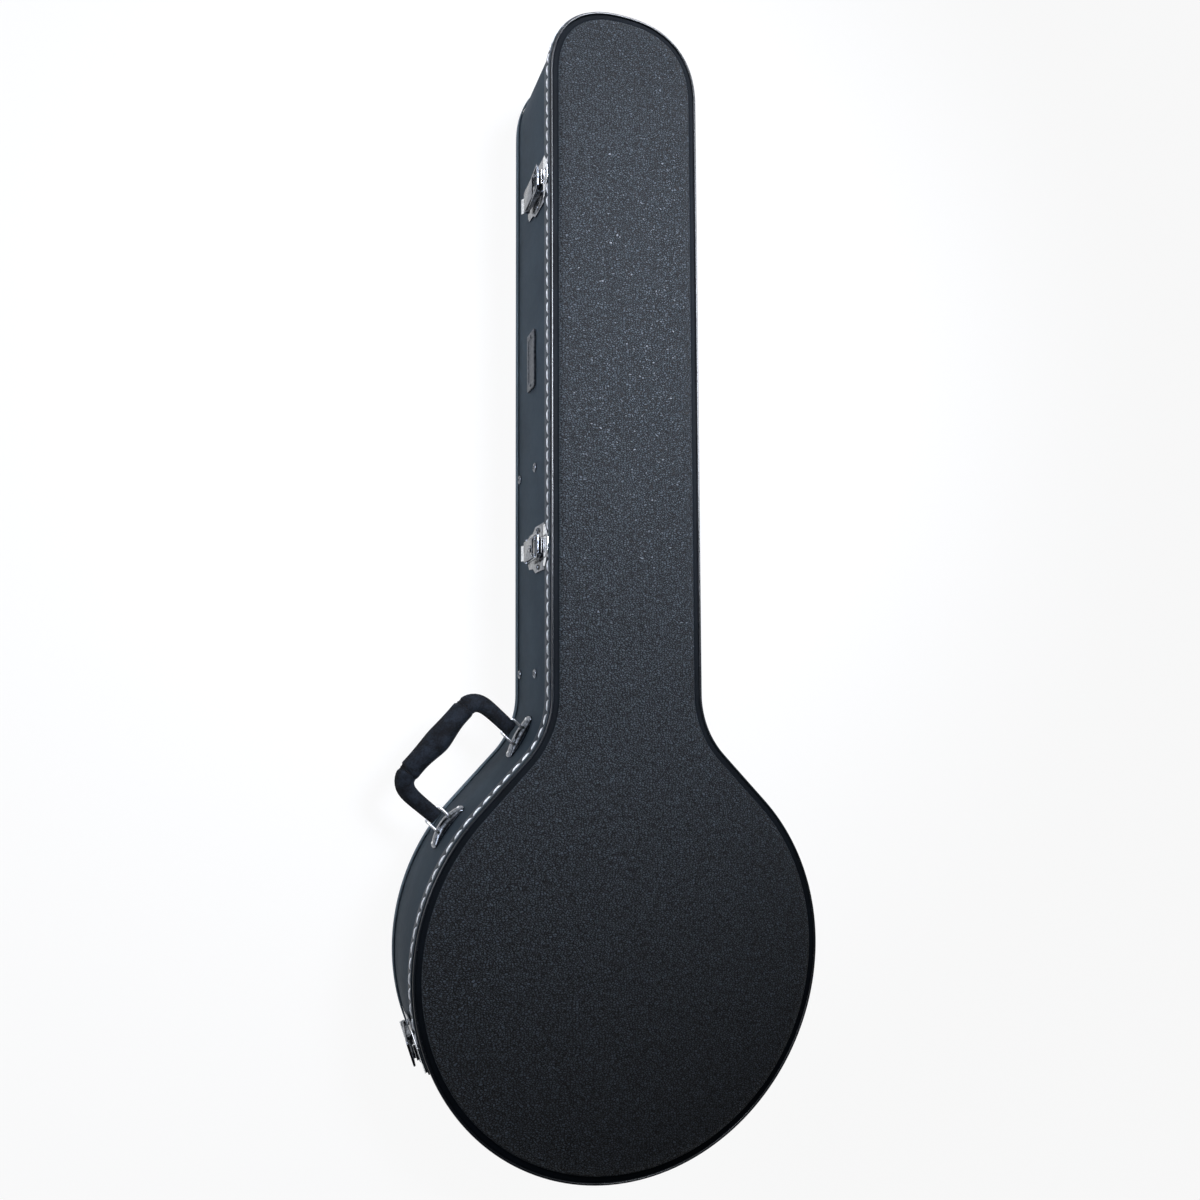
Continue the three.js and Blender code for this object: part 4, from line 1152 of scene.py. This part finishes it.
def makeLatches():
    shape = latchShape
    coilMaster = makeCoil("coilMaster")
    rivetMaster = makeTubularRivet()
    yokeMaster = makeYoke()
    for side, place in shape["places"].items():
        name = side.title()
        plate = softenedCopy(f"latch_{side}_plate", f"latchPlate{name}", shape["plateEdge"])
        # the window that the ears were bent out of
        window = boxPiece("earWindow", *shape["window"])
        window.data.transform(place)
        cutAway(plate, window)
        shadeSmooth(plate, angle=40)
        coil = copyOf(coilMaster, f"latchSpring{name}")
        axle = Matrix.Translation((shape["pivotOut"] * mm, 0, -shape["pivotDown"] * mm))
        coil.data.transform(place @ axle)
        # the spring takes the paler chrome: painted highlight
        dress(coil, "base", highlightChrome, "chrome")
        dress(plate, "base", chrome, "chrome", f"latch_{side}_plate")
        lever = softenedPiece(
            f"latch_{side}_lever", f"latchLever{name}", shape["leverEdge"], f"{side}_lever", chrome, "chrome"
        )
        curlLip(lever, place)
        yoke = copyOf(yokeMaster, f"latchYoke{name}")
        yoke.data.transform(place)
        dress(yoke, f"{side}_yoke", chrome, "chrome", f"latch_{side}_yoke")
        # the keeper takes the paler chrome: painted highlight
        softenedPiece(
            f"latch_{side}_keeper", f"latchKeeper{name}", shape["keeperEdge"], "lid", highlightChrome, "chrome"
        )
        # the pin takes the darker steel: painted shade
        softenedPiece(
            f"latch_{side}_pivot_pin", f"latchPin{name}", shape["pinEdge"], "base", pinSteelInShade, "chrome"
        )
        for i, end in enumerate((-1, 1)):
            rivet = copyOf(rivetMaster, f"latchRivet{name}{i + 1}")
            spot = (shape["rivetStand"] * mm, end * shape["rivetY"] * mm, -shape["rivetDown"] * mm)
            rivet.data.transform(place @ Matrix.Translation(spot))
            dress(rivet, "base", chrome, "chrome", f"latch_{side}_rivet_{i + 1}")
    for master in (coilMaster, rivetMaster, yokeMaster):
        bpy.data.objects.remove(master)
    softenedPiece("lock_plug", "lockPlug", shape["plugEdge"], "lock", chrome, "chrome")


makeLatches()


# Hinges on the far side, with pressed rivets through their leaves

print("hinges")
hingeLine = nodeCentre("head_hinge_pin") - nodeCentre("body_hinge_pin")
hingeTurn = math.degrees(math.atan2(hingeLine.y, hingeLine.x)) - 90
bodyHingePlace = bodyPlace(hingeTurn, caseShape["seam"])
hingeShape = {
    "places": {"body": bodyHingePlace, "head": Matrix.Translation(hingeLine * mm) @ bodyHingePlace},
    "rivets": {"body": (15.0, 0.0, -15.0), "head": (9.5, -9.5)},
    "baseDrop": 12.0, "lidRise": 5.6, "stand": 1.3, "radius": 1.9, "height": 0.9,
    "leafEdge": 0.25, "pinEdge": 0.2,
}


def makeHinges():
    shape = hingeShape
    master = domeHead("hingeRivetMaster", shape["radius"], shape["height"])
    for end, place in shape["places"].items():
        for body, height in (("base", -shape["baseDrop"]), ("lid", shape["lidRise"])):
            nodeName = f"{end}_hinge_{body}_leaf"
            parts = [softenedCopy(nodeName, "leaf", shape["leafEdge"], segments=2)]
            for y in shape["rivets"][end]:
                rivet = copyOf(master, "rivet")
                spot = (shape["stand"] * mm, y * mm, height * mm)
                rivet.data.transform(place @ Matrix.Translation(spot))
                parts.insert(0, rivet)
            leaf = joinPieces(f"{end}Hinge{body.title()}Leaf", parts)
            dress(leaf, body, chrome, "chrome", nodeName)
        softenedPiece(
            f"{end}_hinge_pin", f"{end}HingePin", shape["pinEdge"], "base", wireChrome, "chrome"
        )
    bpy.data.objects.remove(master)


makeHinges()


# Carrying handle: two arched plates, two wire loops and a stitched leathercloth grip

print("handle")
handleShape = {
    "height": 60.0, "upperTurn": -29.5, "lowerTurn": 142.7,
    "plateHalf": 22.5, "archHalf": 8.5, "archHeight": 7.8, "archWall": 1.105, "stand": 0.3,
    "plateEdge": 0.18, "archPower": 0.8, "taperShare": 0.8, "tipWidthShare": 0.25, "tipHeightShare": 0.22,
    "lipShare": 0.97, "lipHeightShare": 0.55, "stepsAlong": 48, "stepsAcross": 22,
    "slotY": 8.5, "slotWidth": 2.3, "slotHalf": 7.4, "slotFoot": 1.0, "slotTop": 12.0, "barOut": 3.2,
    "wire": 1.1, "loopHalf": 8.5, "loopRise": 16.5, "loopRound": 2.2,
    "rivetY": 18.4, "rivetRadius": 1.7, "rivetHeight": 0.8, "rivetStand": 3.9,
}
centreX, centreY = shoulderCentre()
fillet = caseShape["shoulderFillet"]
upperTurn = math.radians(handleShape["upperTurn"])
plateRuns = {
    "upper": {
        "place": wallPlace(
            fillet * math.cos(upperTurn) - centreX, centreY + fillet * math.sin(upperTurn),
            math.pi + upperTurn, handleShape["height"],
        ),
        "bend": -fillet,
    },
    "lower": {
        "place": bodyPlace(handleShape["lowerTurn"], handleShape["height"]),
        "bend": caseShape["bodyRadius"],
    },
}
upperEye = plateRuns["upper"]["place"] @ Vector((handleShape["barOut"] * mm, 0, 0))
lowerEye = plateRuns["lower"]["place"] @ Vector((handleShape["barOut"] * mm, 0, 0))
handleSpan = (upperEye - lowerEye).length / mm
handleMiddle = (upperEye + lowerEye) / 2
handleFacing = math.atan2((upperEye - lowerEye).y, (upperEye - lowerEye).x) + math.pi / 2
handlePlace = Matrix.Translation(handleMiddle) @ Matrix.Rotation(handleFacing, 4, "Z")


def gridSurface(name, countAlong, countAcross, pointAt):
    # a sheet of quads whose places in mm come from pointAt(share along, share across)
    pick()
    bpy.ops.mesh.primitive_grid_add(x_subdivisions=countAlong, y_subdivisions=countAcross, size=2)
    sheet = bpy.context.object
    sheet.name = name
    for vertex in sheet.data.vertices:
        vertex.co = Vector(pointAt(vertex.co.x, vertex.co.y)) * mm
    return sheet


def makeHandlePlate(side):
    shape = handleShape
    bend = plateRuns[side]["bend"]
    taper, tipWidth, tipHeight = shape["taperShare"], shape["tipWidthShare"], shape["tipHeightShare"]

    def archPoint(along, across):
        # along runs from -1 to 1 between the plate's ends, across from -1 to 1 over its arch
        end = abs(along)
        wide = 1.0
        if end >= taper:
            rounding = math.sqrt(max(0.0, 1 - ((end - taper) / (1 - taper)) ** 2))
            wide = tipWidth + (1 - tipWidth) * rounding
        tall = tipHeight + (1 - tipHeight) * math.cos(math.pi / 2 * min(end, 1.0)) ** shape["archPower"]
        if end > shape["lipShare"]:
            tall *= shape["lipHeightShare"]
        angle = math.pi / 2 * (1 - across)
        out = shape["stand"] + shape["archHeight"] * tall * math.sin(angle) ** shape["archPower"]
        up = shape["archHalf"] * wide * math.cos(angle)
        turn = shape["plateHalf"] * along / bend
        return ((bend + out) * math.cos(turn) - bend, (bend + out) * math.sin(turn), up)

    name = f"archedHandlePlate{side.title()}"
    plate = gridSurface(name, shape["stepsAlong"], shape["stepsAcross"], archPoint)
    faceOutwards(plate)
    if sum(face.normal.x * face.area for face in plate.data.polygons) < 0:
        startEdit(plate)
        bpy.ops.mesh.select_all(action="SELECT")
        bpy.ops.mesh.flip_normals()
        endEdit()
    applyModifier(plate, "SOLIDIFY", thickness=shape["archWall"] * mm, offset=-1.0)
    for end in (-1, 1):
        y = end * shape["slotY"]
        half = shape["slotWidth"] / 2
        cutAway(plate, boxPiece(
            "slotCutter", (shape["slotFoot"], y - half, -shape["slotHalf"]),
            (shape["slotTop"], y + half, shape["slotHalf"]),
        ))
    bevelEdges(plate, shape["plateEdge"], segments=2, angle=45)
    shadeSmooth(plate, angle=45)
    plate.data.transform(plateRuns[side]["place"])
    dress(plate, "base", chrome, "chrome", f"handle_{side}_plate")
    for i, end in enumerate((-1, 1)):
        rivet = domeHead(f"handleRivet{side.title()}{i + 1}", shape["rivetRadius"], shape["rivetHeight"])
        turn = end * shape["rivetY"] / bend
        spot = Matrix.Translation((-bend * mm, 0, 0)) @ Matrix.Rotation(turn, 4, "Z")
        spot = spot @ Matrix.Translation(((bend + shape["rivetStand"]) * mm, 0, 0))
        rivet.data.transform(plateRuns[side]["place"] @ spot)
        dress(rivet, "base", wireChrome, "chrome", f"handle_{side}_plate_rivet_{i + 1}")


def makeWireLoop(side):
    # a closed rounded loop of wire through both slots of a plate and the end of the grip
    shape = handleShape
    way = -1 if side == "upper" else 1
    toHandle = handlePlace.inverted() @ plateRuns[side]["place"]
    ends = [
        toHandle @ Vector((shape["barOut"] * mm, end * shape["loopHalf"] * mm, 0)) / mm for end in (-1, 1)
    ]
    ends.sort(key=lambda point: -way * point.y)
    centre = way * handleSpan / 2
    corners = [
        (ends[0].x, ends[0].y), (shape["loopRise"], centre + way * shape["loopHalf"]),
        (shape["loopRise"], centre - way * shape["loopHalf"]), (ends[1].x, ends[1].y),
    ]
    line = ringBlank("loopLine", [(x * mm, y * mm, 0) for x, y in corners])
    startEdit(line, "VERT")
    bpy.ops.mesh.select_all(action="SELECT")
    bpy.ops.mesh.bevel(offset=shape["loopRound"] * mm, segments=6, affect="VERTICES")
    bpy.ops.mesh.select_all(action="SELECT")
    bpy.ops.mesh.delete(type="ONLY_FACE")
    endEdit()
    loop = makeTube(f"wireLoop{side.title()}", line, shape["wire"], sides=4)
    loop.data.transform(handlePlace)
    dress(loop, "carrying_handle", wireChrome, "chrome", f"handle_loop_{side}")


# Stations of the grip from a leg's foot to its middle: rise, place along, half width, half thickness
# and roundness
gripStations = [
    (9.7, 51.6, 6.6, 3.2, 0.0), (10.4, 51.6, 7.0, 3.6, 0.0), (14.0, 51.6, 7.05, 3.9, 0.0),
    (22.0, 51.8, 7.1, 4.1, 0.0), (30.0, 51.9, 7.2, 4.4, 0.05), (38.0, 51.9, 7.45, 4.7, 0.1),
    (45.0, 51.4, 7.9, 5.1, 0.15), (50.5, 49.4, 8.6, 5.6, 0.25), (54.2, 46.0, 9.1, 6.2, 0.4),
    (56.2, 42.0, 9.4, 6.9, 0.55), (56.6, 39.2, 9.3, 7.3, 0.6), (57.2, 38.4, 8.4, 6.6, 0.6),
    (57.3, 37.8, 8.4, 6.7, 0.65), (56.7, 36.9, 10.1, 8.3, 0.7), (56.8, 34.0, 10.0, 8.6, 0.8),
    (56.9, 26.0, 9.7, 9.3, 0.9), (56.6, 18.0, 10.2, 9.8, 1.0), (56.1, 10.0, 11.1, 10.1, 1.0),
    (55.7, 4.0, 11.8, 10.3, 1.0), (55.6, 0.0, 12.0, 10.4, 1.0),
]
gripShape = {
    "sidePower": 0.85, "facePower": 0.62, "roundPower": 0.3,
    "outerPinch": 0.34, "innerPinch": 0.3, "pinchStart": 0.55, "pinchRun": 0.3,
    "seamStation": 11, "seamShift": 0.2, "seamRadius": 0.55,
    "stitchPitch": 3.3, "stitchMargin": 2.4, "stitchInset": 1.7, "stitchLift": 0.02, "legFrom": 47.5,
    "stitchLength": 2.3, "stitchRadius": 0.5, "stitchArch": 0.2, "castFrom": 50.0,
}


def gripRun():
    # every station from foot to foot, each with the direction in which the grip runs there
    stations = gripStations + [(rise, -along, *section) for rise, along, *section in gripStations[-2::-1]]
    run = []
    for i, station in enumerate(stations):
        before = stations[max(i - 1, 0)]
        after = stations[min(i + 1, len(stations) - 1)]
        run.append((station, Vector((after[0] - before[0], after[1] - before[1])).normalized()))
    return run


def gripSection(wide, thick, roundness, sides=28):
    # lateral share from the inner edge (-1) to the outer edge (+1); the outer edge is pinched flat
    # where it is sewn, and so is the inner edge of a leg
    shape = gripShape
    section = []
    for k in range(sides):
        angle = 2 * math.pi * k / sides
        c, s = math.cos(angle), math.sin(angle)
        lateral = math.copysign(abs(c) ** shape["sidePower"], c)
        up = math.copysign(abs(s) ** (shape["facePower"] + shape["roundPower"] * roundness), s)
        near = min(max((abs(lateral) - shape["pinchStart"]) / shape["pinchRun"], 0.0), 1.0)
        pinch = 0.0
        if lateral > 0:
            pinch = shape["outerPinch"] * near
        elif roundness < 0.5:
            pinch = shape["innerPinch"] * (1 - roundness * 2) * near
        section.append((wide * lateral, thick * up * (1 - pinch)))
    return section


def makeGrip():
    rings = []
    for (rise, along, wide, thick, full), run in gripRun():
        ring = []
        for lateral, up in gripSection(wide, thick, full):
            ring.append(Vector((rise - run.y * lateral, along + run.x * lateral, up)) * mm)
        rings.append(ring)
    grip = ringBlank("stitchedHandleGrip", rings[0], filled=True)
    startEdit(grip)
    bpy.ops.mesh.select_all(action="SELECT")
    for last, ring in zip(rings[:-1], rings[1:]):
        extrudeUp(0)
        mesh = bmesh.from_edit_mesh(grip.data)
        for vertex in mesh.verts:
            if vertex.select:
                order = min(range(len(last)), key=lambda k: (last[k] - vertex.co).length_squared)
                vertex.co = ring[order]
        bmesh.update_edit_mesh(grip.data)
    turnFacesOut()
    endEdit()
    applyModifier(grip, "SUBSURF", levels=1, render_levels=1)
    return grip


def gripSeam(grip, way):
    # the dark gap where the padded middle of the grip meets a leg's cover: a black tube laid in the seam as
    # painted shade
    shape = gripShape
    rise, along, wide, thick, full = gripStations[shape["seamStation"]]
    across = way * (along - shape["seamShift"])
    ring = ringBlank("seamLine", [
        Vector((rise + lateral, across, up)) * mm for lateral, up in gripSection(wide, thick, full)
    ])
    applyModifier(ring, "SHRINKWRAP", target=grip, wrap_method="NEAREST_SURFACEPOINT")
    seam = makeTube("gripSeam", ring, shape["seamRadius"], sides=2)
    seam.data.transform(handlePlace)
    dress(seam, "carrying_handle", blackThread, "handle_leather")


def seamRows():
    # the outer edge of the whole grip, then the inner edge of each leg
    rows = []
    for edge in (1, -1):
        line = []
        for (rise, along, wide, *section), run in gripRun():
            if edge < 0 and abs(along) < gripShape["legFrom"]:
                rows.append(line)
                line = []
                continue
            lateral = edge * (wide - gripShape["stitchInset"])
            line.append((rise - run.y * lateral, along + run.x * lateral))
        rows.append(line)
    return [line for line in rows if len(line) > 1]


def sewGrip(grip):
    # rows of sunk black stitches, each seated on the surface that it is sewn into
    shape = gripShape
    master = makeStitch(
        "gripStitchMaster", shape["stitchLength"], shape["stitchRadius"], shape["stitchArch"],
        blackThread, steps=2,
    )
    stitches = []
    bpy.context.view_layer.update()
    for line in seamRows():
        for x, y, angle in alongOutline(line, shape["stitchPitch"], shape["stitchMargin"]):
            for way in (-1, 1):
                start = Vector((x, y, way * shape["castFrom"])) * mm
                hit, point, normal, index = grip.ray_cast(start, Vector((0, 0, -way)))
                if not hit:
                    continue
                twin = copyOf(master, "gripStitch")
                lean = Vector((0, 0, 1)).rotation_difference(normal).to_matrix().to_4x4()
                seat = Matrix.Translation(point + normal * shape["stitchLift"] * mm)
                twin.data.transform(seat @ lean @ Matrix.Rotation(angle, 4, "Z"))
                stitches.append(twin)
    bpy.data.objects.remove(master)
    sewing = joinPieces("gripStitching", stitches)
    sewing.data.transform(handlePlace)
    dress(sewing, "carrying_handle", blackThread, "handle_leather")


for side in ("upper", "lower"):
    makeHandlePlate(side)
    makeWireLoop(side)
handleGrip = makeGrip()
shadeSmooth(handleGrip, angle=60)
sewGrip(handleGrip)
for way in (-1, 1):
    gripSeam(handleGrip, way)
handleGrip.data.transform(handlePlace)
dress(handleGrip, "carrying_handle", handleLeather, "handle_leather", "handle_grip")


# Floor, lamps, background and camera

print("studio")
studioShape = {
    "floorHalf": 6.0, "floorCentre": (0, 0.4, -0.0005), "floorTone": "#dde4ee", "floorGlow": 0.93,
    "floorRoughness": 0.8, "lampTone": "#eef3ff",
    "lamps": {
        "headSoftbox": {
            "place": (0.5, 1.05, 1.45), "aim": (0.0, 0.6, 0.1), "size": 0.9,
            "spread": 37.0, "power": 6.9,
        },
        "keyLamp": {
            "place": (-0.6, 1.45, 0.85), "aim": (0.0, 0.55, 0.1), "size": 0.35,
            "spread": 120.0, "power": 2.3,
        },
        "latchSideSoftbox": {
            "place": (-2.0, 0.75, 0.8), "aim": (-0.1, 0.4, 0.05), "size": 1.0,
            "spread": 120.0, "power": 6.0,
        },
    },
    "horizonLight": "#f2f4f6", "ceilingLight": "#0c0e11", "horizonEnd": 0.25, "ceilingStart": 0.6,
    "worldStrength": 0.12, "mirrorStrength": 0.64, "brightSide": (0.25, -0.45, 1.0),
}
cameraShape = {
    "place": (-0.309435, 0.239324, 0.884408), "yaw": 0.35272, "pitch": 0.059205, "roll": -0.0042846,
    "lens": 27.3005, "sensor": 36.0, "shiftY": 0.0294, "clipStart": 0.01,
}


def makeFloor():
    # the camera, a mirror or glass sees a nearly white floor; its light on the case stays that of paint
    shape = studioShape
    pick()
    bpy.ops.mesh.primitive_plane_add(size=shape["floorHalf"] * 2, location=shape["floorCentre"])
    floor = bpy.context.object
    floor.name = "paleFloor"
    material = newMaterial("palePaintedFloor")[0]
    finishMaterial(material, colour=colourOf(shape["floorTone"]), roughness=shape["floorRoughness"])
    seen = addNode(material, "LightPath", "Is Camera Ray")
    for ray in ("Is Glossy Ray", "Is Transmission Ray"):
        other = addNode(material, "LightPath", ray)
        seen = addNode(material, "Math", 0, {0: seen, 1: other}, operation="MAXIMUM")
    seen = addNode(material, "Math", 0, {0: seen, 1: shape["floorGlow"]}, operation="MULTIPLY")
    white = addNode(material, "Emission", "Emission", {"Color": colourOf("#ffffff"), "Strength": 1.0})
    painted = material.node_tree.nodes["Principled BSDF"].outputs["BSDF"]
    mixed = addNode(material, "MixShader", 0, {0: seen, 1: painted, 2: white})
    feed(material, material.node_tree.nodes["Material Output"].inputs["Surface"], mixed)
    floor.data.materials.append(material)


def makeLamps():
    for name, lamp in studioShape["lamps"].items():
        pick()
        bpy.ops.object.light_add(type="AREA", location=lamp["place"])
        light = bpy.context.object
        light.name = name
        aim = Vector(lamp["aim"]) - Vector(lamp["place"])
        light.rotation_euler = aim.to_track_quat("-Z", "Y").to_euler()
        light.data.shape = "DISK"
        light.data.size = lamp["size"]
        light.data.spread = math.radians(lamp["spread"])
        light.data.energy = lamp["power"]
        light.data.color = colourOf(studioShape["lampTone"])[:3]


def makeWorld():
    # pale backdrop up to a dim ceiling, higher towards the head end and the latches; the camera
    # sees plain white
    world = bpy.data.worlds.new("paleStudio")
    bpy.context.scene.world = world
    world.use_nodes = True
    shape = studioShape
    heading = addNode(world, "TexCoord", "Generated")
    rise = addNode(
        world, "VectorMath", "Value", {0: heading, 1: shape["brightSide"]}, operation="DOT_PRODUCT"
    )
    tone = addNode(world, "ValToRGB", "Color", {"Fac": rise}, stops=(
        (shape["horizonEnd"], shape["horizonLight"]), (shape["ceilingStart"], shape["ceilingLight"]),
    ))
    backdrop = world.node_tree.nodes["Background"]
    feed(world, backdrop.inputs["Color"], tone)
    feed(world, backdrop.inputs["Strength"], shape["worldStrength"])
    glossy = addNode(world, "LightPath", "Is Glossy Ray")
    through = addNode(world, "LightPath", "Is Transmission Ray")
    mirrored = addNode(world, "Math", 0, {0: glossy, 1: through}, operation="MAXIMUM")
    inMirrors = addNode(world, "Emission", "Emission", {"Color": tone, "Strength": shape["mirrorStrength"]})
    white = addNode(world, "Emission", "Emission", {"Color": colourOf("#ffffff"), "Strength": 1.0})
    seen = addNode(world, "LightPath", "Is Camera Ray")
    mixed = addNode(world, "MixShader", 0, {0: mirrored, 1: backdrop.outputs[0], 2: inMirrors})
    mixed = addNode(world, "MixShader", 0, {0: seen, 1: mixed, 2: white})
    feed(world, world.node_tree.nodes["World Output"].inputs["Surface"], mixed)


def makeCamera():
    shape = cameraShape
    turn, tip, lean = shape["yaw"], shape["pitch"], shape["roll"]
    right = Vector((math.cos(turn), 0, math.sin(turn)))
    up = Vector((0, 1, 0))
    ahead = Vector((math.sin(turn), 0, -math.cos(turn)))
    aheadTipped = ahead * math.cos(tip) + up * math.sin(tip)
    upTipped = up * math.cos(tip) - ahead * math.sin(tip)
    rightLeaned = right * math.cos(lean) + upTipped * math.sin(lean)
    upLeaned = upTipped * math.cos(lean) - right * math.sin(lean)
    pick()
    bpy.ops.object.camera_add()
    camera = bpy.context.object
    camera.name = "photoCamera"
    frameAxes = Matrix((rightLeaned, upLeaned, -aheadTipped)).transposed().to_4x4()
    camera.matrix_world = Matrix.Translation(shape["place"]) @ frameAxes
    camera.data.lens = shape["lens"]
    camera.data.sensor_width = shape["sensor"]
    camera.data.sensor_fit = "HORIZONTAL"
    camera.data.shift_y = shape["shiftY"]
    camera.data.clip_start = shape["clipStart"]
    bpy.context.scene.camera = camera


makeFloor()
makeLamps()
makeWorld()
makeCamera()
bpy.context.scene.view_settings.view_transform = "Standard"
